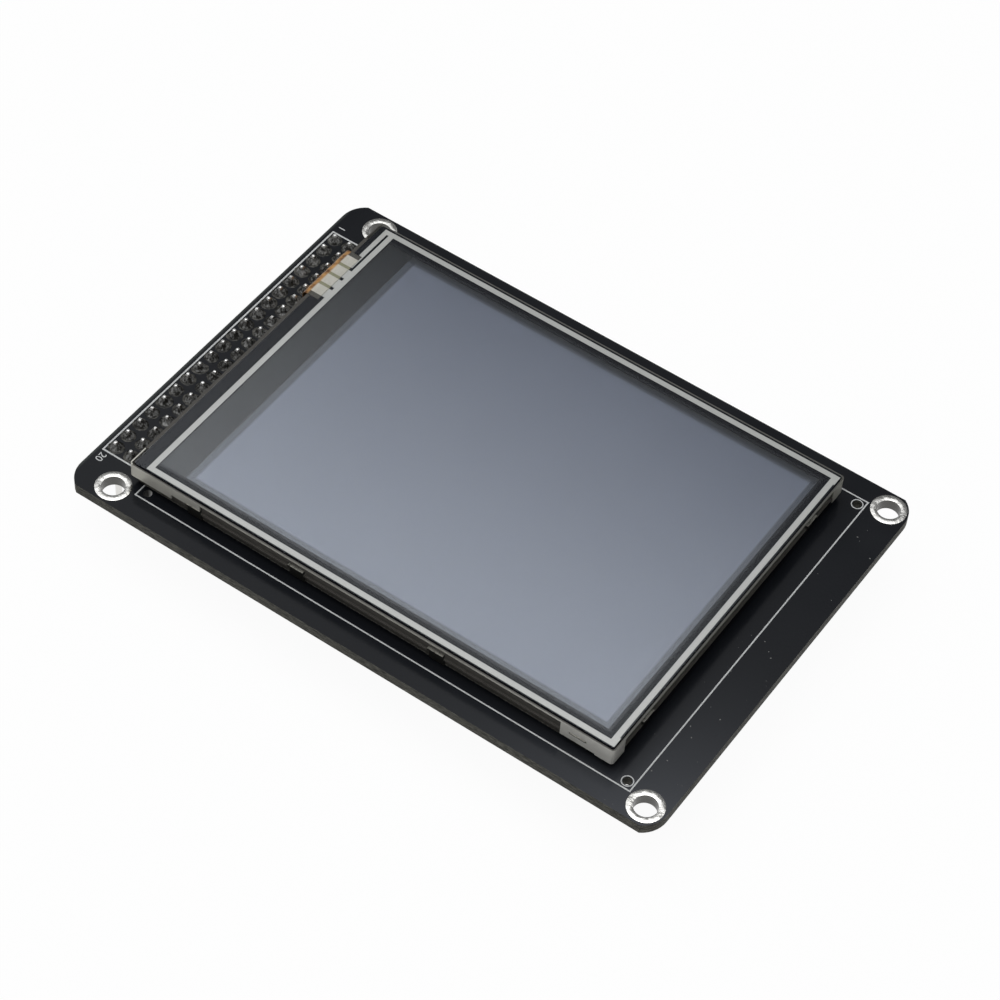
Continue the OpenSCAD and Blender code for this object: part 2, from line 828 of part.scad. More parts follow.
// Beads that close the gaps between the frame's walls, level with the outside of its sheet
module housing_beads() {
    long_bead = display_length - shoulder_length - far_wall_length - 2 * hook_fit;
    short_bead = display_width - 2 * corner_length - 2 * hook_fit;
    at_display(bead_z) {
        translate([shoulder_length + hook_fit, -display_width / 2, 0])
            cube([long_bead, display_width, bead_height]);
        translate([display_length / 2, -short_bead / 2, 0])
            cube([display_length / 2, short_bead, bead_height]);
    }
}

// Moulded lip that takes the place of the steel rim on the header side
module housing_lip() {
    lip_length = display_width - 2 * header_corner - 2 * hook_fit;
    at_display(housing_split) translate([0, -lip_length / 2, 0])
        cube([touch_header_margin - sheet_fit, lip_length, rim_z - housing_split]);
}

// Moulded frame: an undercut lower half, a flush upper half, the beads and the lip
module backlight_housing() {
    hook_pocket_z = housing_split - 2 * hook_fit;
    color("#34332f") difference() {
        union() {
            layer(reflector_z, housing_split - reflector_z + cut)
                inset_plate(undercut_margin, undercut_margin, frame_corner);
            layer(housing_split, housing_top - housing_split)
                inset_plate(housing_margin, housing_margin, frame_corner);
            housing_beads();
            housing_lip();
        }
        // light guide bay and the larger bay for the glass above it
        layer(0, ledge_z + 1) inset_plate(pocket_header_margin, pocket_margin);
        layer(ledge_z, 5) inset_plate(glass_pocket, glass_pocket);
        // way out for the display's tail, under a bridge at the top of the wall
        at_display() translate([-1, flex_offset - flex_width / 2 - 3 * sheet_fit, 0])
            cube([window_end + 1, flex_width + 6 * sheet_fit, upper_glass_z + flex_thickness + flex_gap]);
        // pockets for the hooks
        at_display(hook_pocket_z) at_hooks()
            translate([-fit - housing_undercut, -hook_width / 2 - hook_fit, 0])
                cube([2, hook_width + 2 * hook_fit, hook_z + hook_nose + hook_fit - hook_pocket_z]);
    }
}

// ---------------------------------------------------------------- LCD

module rim_tape_ring() {
    color("#1a1a1b") layer(ledge_z, rim_tape) difference() {
        inset_plate(window_end + sheet_fit, glass_margin);
        inset_plate(pocket_header_margin, pocket_margin);
    }
}

module rear_polariser() {
    color("#4b5054") layer(lower_glass_z - polariser, polariser)
        inset_plate(polariser_header_margin, film_margin);
}

module lcd_lower_glass() {
    color("#9fb0b4") layer(lower_glass_z, lcd_glass) inset_plate(glass_header_margin, glass_margin);
}

module lcd_upper_glass() {
    color("#9fb0b4") layer(upper_glass_z, lcd_glass) inset_plate(upper_glass_start, glass_margin);
}

module front_polariser() {
    color("#8d93a0") layer(polariser_z, polariser) inset_plate(polariser_header_margin, polariser_margin);
}

module driver_chip() {
    color("#3a3b3e") at_display(upper_glass_z)
        translate([upper_glass_start - 0.6 - driver_width, -driver_length / 2, 0])
            cube([driver_width, driver_length, driver_height]);
}

// Side view of the display's tail: on the glass ledge, round the edge and back under the display
module flex_profile() {
    t = flex_thickness;
    outer = (upper_glass_z + t - flex_gap) / 2;
    step_x = flex_end_x - flex_pad - flex_step;
    translate([flex_bend_x, upper_glass_z]) square([flex_grip, t]);
    translate([flex_bend_x, flex_gap + outer]) difference() {
        circle(outer);
        circle(outer - t);
        translate([0, -outer - 1]) square(2 * outer + 2);
    }
    polygon([
        [flex_bend_x, flex_gap], [step_x, flex_gap], [step_x + flex_step, 0], [flex_end_x, 0],
        [flex_end_x, t], [step_x + flex_step + t, t], [step_x + t, flex_gap + t],
        [flex_bend_x, flex_gap + t]
    ]);
}

module display_flex() {
    color("#b8863a") at_display() translate([0, flex_offset, 0]) across(flex_width) flex_profile();
}

module flex_contacts() {
    count = floor((flex_width - 1) / flex_pitch);
    start = flex_end_x - flex_inset - flex_contact_length;
    color("#c4c4c0") layer(flex_thickness, contact_height) for (i = [0 : count - 1])
        translate([start, flex_offset + (i - (count - 1) / 2) * flex_pitch - flex_contact / 2])
            square([flex_contact_length, flex_contact]);
}

// ---------------------------------------------------------------- steel frame

// Pressed frame: one rim, whose wall is cut to a different depth along each stretch
module metal_frame() {
    far_start = display_length - far_wall_length;
    color("#b3b0a7") difference() {
        layer(corner_z, rim_z - corner_z) difference() {
            inset_plate(0, 0, frame_corner);
            inset_plate(frame_sheet, frame_sheet, frame_corner - frame_sheet);
        }
        for (side = [-1, 1]) at_display() translate([0, side * display_width / 2, 0]) {
            // long sides: the header end, the shoulder, the open middle and the far end
            wall_cut(-1, header_wall_length, header_wall);
            wall_cut(header_wall_length - cut, shoulder_length, shoulder_wall);
            wall_cut(shoulder_length - cut, far_start, rim_strip);
            wall_cut(far_start - cut, display_length - corner_length, far_wall);
        }
        // short sides: only the corners keep their walls, and the header side is left open
        short_wall_cut(0, header_corner, no_rim);
        short_wall_cut(display_length, corner_length, rim_strip);
        // windows for the hooks
        at_display(hook_z - hook_window_fit) at_hooks() translate([-1, -hook_width / 2 - hook_fit, 0])
            cube([2, hook_width + 2 * hook_fit, hook_nose + 2 * hook_window_fit]);
    }
}

// Cut that leaves a wall of the given height under the rim, from x0 to x1
module wall_cut(x0, x1, height) {
    translate([x0, -2 * frame_sheet, corner_z - 1])
        cube([x1 - x0, 4 * frame_sheet, rim_z - height - corner_z + 1]);
}

// Cut that leaves a strip of the given height on a short side at x, between corners of the given length
module short_wall_cut(x, corner, height) {
    at_display(corner_z - 1) translate([x - 2 * frame_sheet, corner - display_width / 2, 0])
        cube([4 * frame_sheet, display_width - 2 * corner, corner_wall - height + 1]);
}

// ---------------------------------------------------------------- touch panel

module touch_tape_ring() {
    color("#2a2a2a") layer(housing_top, touch_tape) difference() {
        inset_plate(touch_header_margin, housing_margin + sheet_fit, touch_corner);
        inset_plate(tape_header_margin, pocket_margin);
    }
}

module touch_glass() {
    color("#9fb3b5") layer(touch_z, touch_glass_thickness)
        inset_plate(touch_header_margin, touch_margin, touch_corner);
}

module touch_film() {
    color("#6f757f") layer(film_z, touch_film_thickness)
        inset_plate(touch_header_margin, touch_margin, touch_corner);
}

// Place of one conductor of the touch panel's tail
function finger_y(i) = tail_offset + (i - (tail_fingers - 1) / 2) * tail_pitch;

// Outline of the silver ink: four bars, the comb to the tail, and the lead to the far bar
module silver_outline() {
    bar_outside = bar_margin + touch_margin;
    top_y = display_width / 2 - bar_outside;
    lead_finger = finger_y(tail_fingers - 1) - tail_finger / 2;
    difference() {
        inset_plate(bar_start, bar_outside);
        inset_plate(bar_start + bar_width, bar_outside + bar_width);
    }
    for (i = [0 : tail_fingers - 2])
        translate([tail_inner, finger_y(i) - tail_finger / 2]) square([comb_gap + cut, tail_finger]);
    translate([lead_start, lead_finger]) square([lead_width, top_y - lead_finger]);
    translate([lead_start, top_y - bar_width]) square([bar_start - lead_start + cut, bar_width]);
    // short tabs outside the far bar
    for (y = [-top_y, top_y - bar_tab])
        translate([display_length - bar_outside - cut, y]) square([bar_margin * 0.6, bar_tab]);
}

// Room that the tail takes between glass and film
module tail_slot() {
    translate([0, tail_offset - tail_width / 2 - slot_fit])
        square([tail_inner + ink_fit, tail_width + 2 * slot_fit]);
}

module touch_silver() {
    color("#cfcec8") layer(ink_z, ink_layer) difference() {
        silver_outline();
        tail_slot();
    }
}

// Dark glue round the edge, with the silver bars let into it
module touch_adhesive() {
    color("#55585c") layer(ink_z, ink_layer) difference() {
        inset_plate(touch_header_margin, touch_margin, touch_corner);
        inset_plate(bar_start + bar_width + adhesive_header_width,
            touch_margin + bar_margin + bar_width + adhesive_width);
        silver_outline();
        tail_slot();
    }
}

// Quarter of a ring, from the -X side up (turn 0) or down (turn 1), about its centre
module quarter_ring(outer, thickness, turn) {
    intersection() {
        difference() {
            circle(outer);
            circle(outer - thickness);
        }
        translate([-outer, -turn * outer]) square(outer);
    }
}

// Side view of a layer of the touch panel's tail, a distance d inside its outer face:
// out of the panel, over the frame, down to the board and back under the display
module tail_profile(d, t) {
    top = film_z - d;
    left = d - tail_reach;
    top_r = tail_bend - d;
    foot_r = tail_foot_radius - d;
    // run out of the panel and bend over the frame
    translate([left + top_r, top - t]) square([tail_inner - left - top_r, t]);
    translate([left + top_r, top - top_r]) quarter_ring(top_r, t, 0);
    // straight down in front of the frame
    translate([left, tail_foot_radius]) square([t, top - top_r - tail_foot_radius]);
    // bend onto the board and run back under the display
    translate([left + foot_r, tail_foot_radius]) quarter_ring(foot_r, t, 1);
    translate([left + foot_r, d]) square([tail_foot, t]);
}

module touch_flex() {
    color("#c58a45") at_display() translate([0, tail_offset, 0])
        across(tail_width) tail_profile(tail_copper, tail_film);
}

module touch_flex_conductors() {
    color("#d8d3c4") at_display() for (i = [0 : tail_fingers - 1])
        translate([0, finger_y(i), 0]) across(tail_finger) tail_profile(0, tail_copper);
}

// ---------------------------------------------------------------- drawing

circuit_board();
mounting_rings();
header_body();
header_pins();
header_solder();
card_socket_base();
card_socket_shell();
card_socket_contacts();
touch_controller();
touch_controller_leads();
voltage_regulator();
regulator_leads();
backlight_transistor();
transistor_leads();
capacitors();
capacitor_ends();
resistors();
resistor_ends();
foam_tape();
back_plate();
reflector_sheet();
light_guide();
led_strip();
leds();
diffuser_sheet();
lower_prism_sheet();
upper_prism_sheet();
backlight_housing();
rim_tape_ring();
rear_polariser();
lcd_lower_glass();
lcd_upper_glass();
front_polariser();
driver_chip();
display_flex();
flex_contacts();
metal_frame();
touch_tape_ring();
touch_glass();
touch_adhesive();
touch_silver();
touch_film();
touch_flex();
touch_flex_conductors();
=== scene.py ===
# %% [markdown]
# # A touch display module, finished in Blender
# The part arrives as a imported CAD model: 44 nodes in metres, each with its place in its own vertices.
# Nothing is moved or resized here. A node whose form is right keeps its mesh and gets a finish, and a
# node whose edges need to catch the light is replaced by a copy with softened edges.

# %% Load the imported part
import bmesh
import bpy
from math import cos, pi, radians, sin
from mathutils import Matrix, Quaternion, Vector


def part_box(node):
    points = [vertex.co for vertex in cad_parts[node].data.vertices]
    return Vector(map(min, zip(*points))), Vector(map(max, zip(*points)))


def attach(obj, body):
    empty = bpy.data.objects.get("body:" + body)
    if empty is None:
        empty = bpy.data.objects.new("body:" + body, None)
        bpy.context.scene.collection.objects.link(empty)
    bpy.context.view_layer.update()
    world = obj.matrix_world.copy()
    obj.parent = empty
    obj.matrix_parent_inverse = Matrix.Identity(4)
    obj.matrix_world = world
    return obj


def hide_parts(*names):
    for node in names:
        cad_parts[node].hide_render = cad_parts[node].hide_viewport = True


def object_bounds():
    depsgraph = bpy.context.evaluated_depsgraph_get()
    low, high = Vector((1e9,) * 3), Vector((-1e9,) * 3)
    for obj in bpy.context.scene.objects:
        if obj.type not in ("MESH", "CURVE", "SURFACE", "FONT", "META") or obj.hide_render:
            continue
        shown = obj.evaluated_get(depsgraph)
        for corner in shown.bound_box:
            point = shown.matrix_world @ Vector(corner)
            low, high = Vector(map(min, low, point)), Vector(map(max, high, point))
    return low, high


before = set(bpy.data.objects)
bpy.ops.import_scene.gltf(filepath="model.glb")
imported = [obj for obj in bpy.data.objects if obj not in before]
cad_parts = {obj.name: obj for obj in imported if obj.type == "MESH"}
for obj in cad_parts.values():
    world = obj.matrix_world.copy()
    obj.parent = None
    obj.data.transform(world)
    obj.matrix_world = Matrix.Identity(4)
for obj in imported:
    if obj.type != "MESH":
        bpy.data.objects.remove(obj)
cad_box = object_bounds()
MM = 0.001
print("nodes:", len(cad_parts), "size in mm:", [round(v / MM, 2) for v in cad_box[1] - cad_box[0]])


# %% [markdown]
# Everything that is placed on a real module follows from a few pieces: the board's faces, the
# header's rows, the display's outline. Their boxes give the numbers, so the finish follows the model when
# it changes.

# %% The boxes that the rest is placed by
board_low, board_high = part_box("circuit_board")
pins_low, pins_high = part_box("header_pins")
frame_low, frame_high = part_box("metal_frame")
panel_low, panel_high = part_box("touch_film")
silver_low, silver_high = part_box("touch_silver")
TOP = board_high.z
BOTTOM = board_low.z
PITCH = 2.54 * MM
ROW_PINS = 20
print("board faces at", BOTTOM / MM, "and", round(TOP / MM, 2), "panel top at", round(panel_high.z / MM, 2))


# %% [markdown]
# ## Camera, floor and light
# A long lens from well above keeps the board's edges almost parallel. The camera is placed by what it
# looks at, its azimuth, elevation and distance, and then rolled a little about its own axis.

# %% Camera
def place_camera(aim, azimuth, elevation, roll, distance, lens):
    back = Vector((sin(azimuth) * cos(elevation), -cos(azimuth) * cos(elevation), sin(elevation)))
    camera = bpy.data.objects.new("camera", bpy.data.cameras.new("camera"))
    bpy.context.scene.collection.objects.link(camera)
    camera.data.sensor_width = 36
    camera.data.lens = lens
    camera.data.clip_start = 0.01
    camera.location = aim + back * distance
    turn = back.to_track_quat("Z", "Y") @ Quaternion((0, 0, 1), roll)
    camera.rotation_euler = turn.to_euler()
    bpy.context.scene.camera = camera
    return camera


camera = place_camera(aim=Vector((-0.134, -0.540, 1.6)) * MM, azimuth=radians(31.166),
                      elevation=radians(50.372), roll=radians(4.840), distance=0.41292, lens=112.80)
print("camera at", [round(v, 4) for v in camera.location])


# %% [markdown]
# ## Writing a finish as a formula
# Blender's shader nodes are sums, products and comparisons of values, so they read best as formulas. One
# small class stands for a node's output and lets Python's operators add the Math nodes. Colours don't go
# through it, because a Math node would turn them grey: they are mixed by `blend`. Every other node comes
# from `node`.

# %% A value in a formula, and the graph that it belongs to
class Value:
    """One output of a node, which can be written into a formula."""

    def __init__(self, graph, socket):
        self.graph, self.socket = graph, socket

    def __add__(self, other):
        return self.graph.math("ADD", self, other)

    def __sub__(self, other):
        return self.graph.math("SUBTRACT", self, other)

    def __rsub__(self, other):
        return self.graph.math("SUBTRACT", other, self)

    def __mul__(self, other):
        return self.graph.math("MULTIPLY", self, other)

    def __pow__(self, other):
        return self.graph.math("POWER", self, other)

    def __gt__(self, other):
        return self.graph.math("GREATER_THAN", self, other)

    def __lt__(self, other):
        return self.graph.math("LESS_THAN", self, other)

    def __abs__(self):
        return self.graph.math("ABSOLUTE", self)

    __radd__ = __add__
    __rmul__ = __mul__


class Graph:
    """Adds nodes to a node tree."""

    def __init__(self, tree):
        self.tree = tree

    def node(self, kind, settings=None, inputs=None, output=0):
        made = self.tree.nodes.new(kind)
        for name, value in (settings or {}).items():
            setattr(made, name, value)
        for name, value in (inputs or {}).items():
            if isinstance(value, Value):
                self.tree.links.new(value.socket, made.inputs[name])
            else:
                made.inputs[name].default_value = value
        return Value(self, made.outputs[output] if made.outputs else None)

    def math(self, operation, *values):
        return self.node("ShaderNodeMath", {"operation": operation}, dict(enumerate(values)))

    def ramp(self, value, low, high, to_low=0.0, to_high=1.0):
        """Carries value from the range low to high over to another range, and stops at its ends."""
        names = ("Value", "From Min", "From Max", "To Min", "To Max")
        return self.node("ShaderNodeMapRange", inputs=dict(zip(names, (value, low, high, to_low, to_high))))


print("formulas are ready")


# %% [markdown]
# A finish is a graph with an output. It measures places in Object coordinates, which on every piece here
# are the part's own metres, so a pattern stays where it is on the module. Grain sizes are given in
# millimetres.

# %% A finish: a graph with the helpers that surfaces share
class Finish(Graph):
    """The node tree of one material, named for what it is on the real module."""

    def __init__(self, name):
        self.material = bpy.data.materials.new(name)
        self.material.use_nodes = True
        super().__init__(self.material.node_tree)
        self.tree.nodes.clear()
        self.place = self.node("ShaderNodeTexCoord", output="Object")
        self.x, self.y, self.z = self.split(self.place)

    def split(self, vector):
        parts = self.node("ShaderNodeSeparateXYZ", inputs={0: vector})
        return [Value(self, socket) for socket in parts.socket.node.outputs]

    def facing_up(self):
        """The up-pointing share of the surface's direction: 1 on a top face, 0 on a wall, -1 underneath."""
        return self.split(self.node("ShaderNodeNewGeometry", output="Normal"))[2]

    def grain(self, size, detail=2.0, stretch=(1, 1, 1)):
        """Soft noise from 0 to 1, with lumps of about this size in millimetres along each axis."""
        scale = tuple(1 / (size * MM * s) for s in stretch)
        place = self.node("ShaderNodeMapping", inputs={"Vector": self.place, "Scale": scale})
        return self.node("ShaderNodeTexNoise", inputs={"Vector": place, "Scale": 1.0, "Detail": detail})

    def inside(self, low, high, soft):
        """1 inside a rectangle of the XY plane, fading to 0 over a soft edge."""
        half = soft / 2
        near = [self.ramp(v, a - half, a + half) for v, a in ((self.x, low.x), (self.y, low.y))]
        far = [self.ramp(v, a - half, a + half, 1, 0) for v, a in ((self.x, high.x), (self.y, high.y))]
        return near[0] * near[1] * far[0] * far[1]

    def blend(self, share, first, second):
        """A colour between two, by a share from 0 to 1."""
        colours = [c if isinstance(c, Value) else (*c, 1) for c in (first, second)]
        inputs = {0: share, 6: colours[0], 7: colours[1]}
        return self.node("ShaderNodeMix", {"data_type": "RGBA"}, inputs, output=2)

    def bumps(self, height, depth):
        """A surface direction from a height of 0 to 1, whose full depth is given in millimetres."""
        return self.node("ShaderNodeBump", inputs={"Height": height, "Distance": depth * MM, "Strength": 1.0})

    def principled(self, inputs):
        return self.node("ShaderNodeBsdfPrincipled", inputs=inputs)

    def done(self, shader):
        self.node("ShaderNodeOutputMaterial", inputs={"Surface": shader})
        print("finish", self.material.name, "with", len(self.tree.nodes), "nodes")
        return self.material


# %% [markdown]
# The floor is a pale sheet below the pins. For the camera and for mirror-like surfaces most of it is
# plain white light, which keeps the background even, and the rest is a matt surface that takes the
# module's soft shadow.

# %% Floor
def floor_finish():
    f = Finish("studio_floor")
    path = f.node("ShaderNodeLightPath")
    seen = [Value(f, path.socket.node.outputs[n]) for n in
            ("Is Camera Ray", "Is Glossy Ray", "Is Transmission Ray")]
    share = f.ramp(seen[0] + seen[1] + seen[2], 0, 1, 0, 0.95)
    paper = f.principled({"Base Color": f.blend(f.grain(40), (0.86, 0.86, 0.86), (0.90, 0.90, 0.90)),
                          "Roughness": 0.9})
    white = f.node("ShaderNodeEmission", inputs={"Color": (1, 1, 1, 1), "Strength": 1.0})
    return f.done(f.node("ShaderNodeMixShader", inputs={0: share, 1: paper, 2: white}))


def add_floor(half_width):
    mesh = bpy.data.meshes.new("floor")
    signs = ((-1, -1), (1, -1), (1, 1), (-1, 1))
    corners = [(x * half_width, y * half_width, cad_box[0].z) for x, y in signs]
    mesh.from_pydata(corners, [], [(0, 1, 2, 3)])
    mesh.materials.append(floor_finish())
    floor = bpy.data.objects.new("floor", mesh)
    bpy.context.scene.collection.objects.link(floor)


add_floor(half_width=3.0)
print("floor at", round(cad_box[0].z / MM, 2), "mm")


# %% [markdown]
# The module is lit the way small products are: a broad soft box overhead, in a room that gets darker away
# from it. That darkening is what a glossy screen shows as a slow change from its far corner to its near
# corner, so the brightest direction leans a little to the camera's left.

# %% Room and soft box
def light_room(brightest, dim, bright, spread):
    """A room that falls from bright to dim over a spread of the cosine from the brightest direction."""
    world = bpy.data.worlds.new("studio")
    world.use_nodes = True
    g = Graph(world.node_tree)
    world.node_tree.nodes.clear()
    direction = g.node("ShaderNodeTexCoord", output="Generated")
    closeness = g.node("ShaderNodeVectorMath", {"operation": "DOT_PRODUCT"},
                       {0: direction, 1: brightest.normalized()}, output="Value")
    strength = g.ramp(closeness, *spread, dim, bright)
    background = g.node("ShaderNodeBackground", inputs={"Color": (0.97, 0.98, 1.0, 1), "Strength": strength})
    g.node("ShaderNodeOutputWorld", inputs={"Surface": background})
    bpy.context.scene.world = world


def add_soft_box(name, place, size, power):
    lamp = bpy.data.objects.new(name, bpy.data.lights.new(name, "AREA"))
    lamp.data.size = size
    lamp.data.energy = power
    lamp.location = place
    lamp.rotation_euler = Vector(place).to_track_quat("Z", "Y").to_euler()
    bpy.context.scene.collection.objects.link(lamp)


light_room(brightest=Vector((-0.222, -0.133, 0.966)), dim=0.15, bright=1.24, spread=(0.697, 0.767))
add_soft_box("soft_box_overhead", place=(-0.05, -0.03, 0.62), size=0.50, power=1.3)
bpy.context.scene.view_settings.view_transform = "Standard"


# %% [markdown]
# ## Pieces
# A finished piece sits at the origin with its place in its mesh, and rides on the part. `keep` finishes a
# CAD node as it is. `soften` copies the node, merges its loose triangles into clean faces and rounds the
# edges by a few hundredths of a millimetre, as pressing, moulding and etching do. Without that line of
# light along each edge a model looks cut from card.


def add_piece(name, mesh, material=None):
    piece = bpy.data.objects.new(name, mesh)
    bpy.context.scene.collection.objects.link(piece)
    if material:
        mesh.materials.clear()
        mesh.materials.append(material)
    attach(piece, "root")
    return piece


def keep(material, *nodes):
    for node in nodes:
        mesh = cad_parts[node].data
        mesh.materials.clear()
        mesh.materials.append(material)


def merged_copy(node):
    """The node's mesh with its doubles merged and its flat faces made whole."""
    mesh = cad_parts[node].data.copy()
    mesh.name = node + "_softened"
    for layer in ("custom_normal", "sharp_face", "sharp_edge"):
        if layer in mesh.attributes:
            mesh.attributes.remove(mesh.attributes[layer])
    shape = bmesh.new()
    shape.from_mesh(mesh)
    bmesh.ops.remove_doubles(shape, verts=shape.verts, dist=1e-6)
    bmesh.ops.dissolve_limit(shape, angle_limit=radians(0.5), verts=shape.verts, edges=shape.edges)
    shape.to_mesh(mesh)
    shape.free()
    return mesh


def soften(material, width, *nodes, draw_in=0):
    """Replaces each node by a copy with rounded edges, drawn in a little. Both sizes are in millimetres."""
    for node in nodes:
        mesh = merged_copy(node)
        mesh.polygons.foreach_set("use_smooth", [True] * len(mesh.polygons))
        piece = add_piece(node + "_softened", mesh, material)
        rounding = piece.modifiers.new("rounding", "BEVEL")
        rounding.width = width * MM
        rounding.segments = 2
        rounding.limit_method = "ANGLE"
        rounding.angle_limit = radians(32)
        rounding.harden_normals = True
        if draw_in:
            inward = piece.modifiers.new("draw_in", "DISPLACE")
            inward.mid_level = 0
            inward.strength = -draw_in * MM
        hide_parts(node)
        print("softened", node, "by", width, "mm,", len(mesh.polygons), "faces")


# %% [markdown]
# ## Circuit board
# The board is black solder mask over fibreglass. The mask is glossy and slightly uneven, and the routed
# edges show the bare laminate: thin grey-brown layers. One finish does both, and picks the edge by the
# direction that the surface faces. A painted sheen greys the mask towards one corner, painted shade keeps
# it dark next to the display, a few specks of dust lie beyond the display, and the mask is lighter along
# the header's edge. One locating hole is plated, so its wall is metal, with painted shade on one side.
# All of these are masks in one finish, because the board is one piece.

# %% Board finish
hole_x = [board_low.x + distance * MM for distance in (10.3, 85.8)]
hole_y = [side * 27.75 * MM for side in (-1, 1)]
PLATED_HOLE = (hole_x[0], hole_y[0])
SHADE_REACH = 1.5 * MM  # how far past the frame the painted shade keeps the mask dark
HOLE_REACH = 0.8 * MM  # half the side of the square that holds the plated hole


def board_finish():
    f = Finish("black_solder_mask")
    cloudy = f.grain(9, detail=3)
    weave = f.grain(0.35, detail=2)
    layers = f.grain(1.2, detail=3, stretch=(1, 1, 0.07))
    wall = abs(f.facing_up()) < 0.5
    plain_mask = f.blend(cloudy, (0.0068, 0.0078, 0.0100), (0.0095, 0.0105, 0.0128))
    # painted shade: the mask is kept dark next to the display, where the display shades the board
    painted_display_shade = f.inside(frame_low, frame_high + Vector((SHADE_REACH, SHADE_REACH, 0)), 4 * MM)
    # painted sheen: the mask greys towards one corner, standing in for the room's reflection
    painted_sheen = f.ramp(f.y, 2 * MM, board_low.y) ** 2 * f.ramp(f.x, -10 * MM, board_high.x) ** 3
    mask = f.blend(painted_sheen * (1 - painted_display_shade), plain_mask, (0.058, 0.062, 0.070))
    specks = f.ramp(f.grain(0.35, detail=0), 0.88, 0.90) * f.ramp(f.x, frame_high.x, frame_high.x + 2 * MM)
    mask = f.blend(specks, mask, (0.20, 0.20, 0.19))
    # the mask is painted lighter along the header's edge
    edge_band = f.ramp(f.x, board_low.x + 0.45 * MM, board_low.x + 0.15 * MM)
    mask = f.blend(edge_band, mask, (0.040, 0.044, 0.042))
    laminate = f.blend(f.ramp(layers, 0.42, 0.62), (0.018, 0.018, 0.015), (0.120, 0.116, 0.096))
    hole = Vector((*PLATED_HOLE, 0))
    reach = Vector((HOLE_REACH, HOLE_REACH, 0))
    plated = f.inside(hole - reach, hole + reach, 0.1 * MM)
    # painted shade: the plated wall is dark on its low-x side and lit on the other
    lit_side = f.ramp(f.x, hole.x - 0.35 * MM, hole.x + 0.25 * MM)
    laminate = f.blend(plated, laminate, f.blend(lit_side, (0.03, 0.03, 0.03), (0.74, 0.74, 0.72)))
    return f.done(f.principled({
        "Base Color": f.blend(wall, mask, laminate), "Specular IOR Level": 0.16,
        "Roughness": f.ramp(cloudy, 0.3, 0.7, 0.13, 0.22) + wall * 0.45,
        "Normal": f.bumps(weave * 0.5 + cloudy * 0.5, 0.006),
    }))


soften(board_finish(), 0.05, "circuit_board")


# %% [markdown]
# ## Printing on the board
# The white print is a thin layer of ink: lines round the header and the display, rings round three of the
# locating holes, and the first and last pin numbers. The lines are drawn as edges, and a Geometry Nodes
# tree gives every edge a flat section, so one tree also makes the copper tracks on the back.

# %% The node tree that gives edges a flat section
def interface(tree, inputs):
    """Adds a geometry output and the named inputs to a node tree, and returns what each input gives."""
    tree.interface.new_socket("Geometry", in_out="OUTPUT", socket_type="NodeSocketGeometry")
    for name, kind in inputs.items():
        tree.interface.new_socket(name, in_out="INPUT", socket_type="NodeSocket" + kind)
    g = Graph(tree)
    group = tree.nodes.new("NodeGroupInput")
    return g, {name: Value(g, group.outputs[name]) for name in inputs}


def close_tree(g, geometry, material):
    """Ends a node tree as the export needs it: instances realised and a material set."""
    whole = g.node("GeometryNodeRealizeInstances", inputs={"Geometry": geometry})
    painted = g.node("GeometryNodeSetMaterial", inputs={"Geometry": whole, "Material": material})
    g.node("NodeGroupOutput", inputs={"Geometry": painted})


def ribbon_tree():
    tree = bpy.data.node_groups.new("flat_lines", "GeometryNodeTree")
    g, given = interface(tree, {"Geometry": "Geometry", "Width": "Float", "Height": "Float",
                                "Material": "Material"})
    curve = g.node("GeometryNodeMeshToCurve", inputs={"Mesh": given["Geometry"]})
    level = g.node("GeometryNodeSetCurveNormal", {"mode": "Z_UP"}, {"Curve": curve})
    section = g.node("GeometryNodeCurvePrimitiveQuadrilateral",
                     inputs={"Width": given["Width"], "Height": given["Height"]})
    line = g.node("GeometryNodeCurveToMesh",
                  inputs={"Curve": level, "Profile Curve": section, "Fill Caps": True})
    close_tree(g, line, given["Material"])
    print("tree", tree.name, "with", len(tree.nodes), "nodes")
    return tree


# %% [markdown]
# The tree runs on a seed object that holds only edges or points. Its result is copied into a plain mesh,
# and the seed is thrown away, so that what the part keeps has no live modifier.

# %% Growing a piece from a seed
def grow(name, tree, seed_points, seed_edges, inputs):
    mesh = bpy.data.meshes.new(name + "_seed")
    mesh.from_pydata(seed_points, seed_edges, [])
    seed = bpy.data.objects.new(name + "_seed", mesh)
    bpy.context.scene.collection.objects.link(seed)
    modifier = seed.modifiers.new("grow", "NODES")
    modifier.node_group = tree
    for item in tree.interface.items_tree:
        if item.in_out == "INPUT" and item.name in inputs:
            modifier[item.identifier] = inputs[item.name]
    evaluated = seed.evaluated_get(bpy.context.evaluated_depsgraph_get())
    grown = bpy.data.meshes.new_from_object(evaluated)
    bpy.data.objects.remove(seed)
    piece = add_piece(name, grown)
    print("grew", name, "with", len(grown.polygons), "faces")
    return piece


def polylines(paths):
    """Points and edges of several open paths, each a list of points."""
    points, edges = [], []
    for path in paths:
        edges += [(len(points) + i, len(points) + i + 1) for i in range(len(path) - 1)]
        points += path
    return points, edges


# %% [markdown]
# A rectangle is printed as four strokes. The long pair runs to the outer corner and the short pair stops
# inside it, so the strokes meet without lying over each other.

# %% Print finish and the printed lines
def ink_finish():
    f = Finish("white_ink")
    worn = f.grain(0.5, detail=3)
    return f.done(f.principled({"Base Color": f.blend(worn, (0.42, 0.43, 0.43), (0.68, 0.69, 0.68)),
                                "Roughness": 0.55, "Normal": f.bumps(worn, 0.003)}))


def rectangle(x0, y0, x1, y1, z, line):
    half = line / 2
    sides = [[(x0 - half, y, z), (x1 + half, y, z)] for y in (y0, y1)]
    return sides + [[(x, y0 + half, z), (x, y1 - half, z)] for x in (x0, x1)]


def ring(x, y, z, radius, steps=28):
    turns = [2 * pi * i / steps for i in range(steps + 1)]
    return [(x + radius * cos(a), y + radius * sin(a), z) for a in turns]


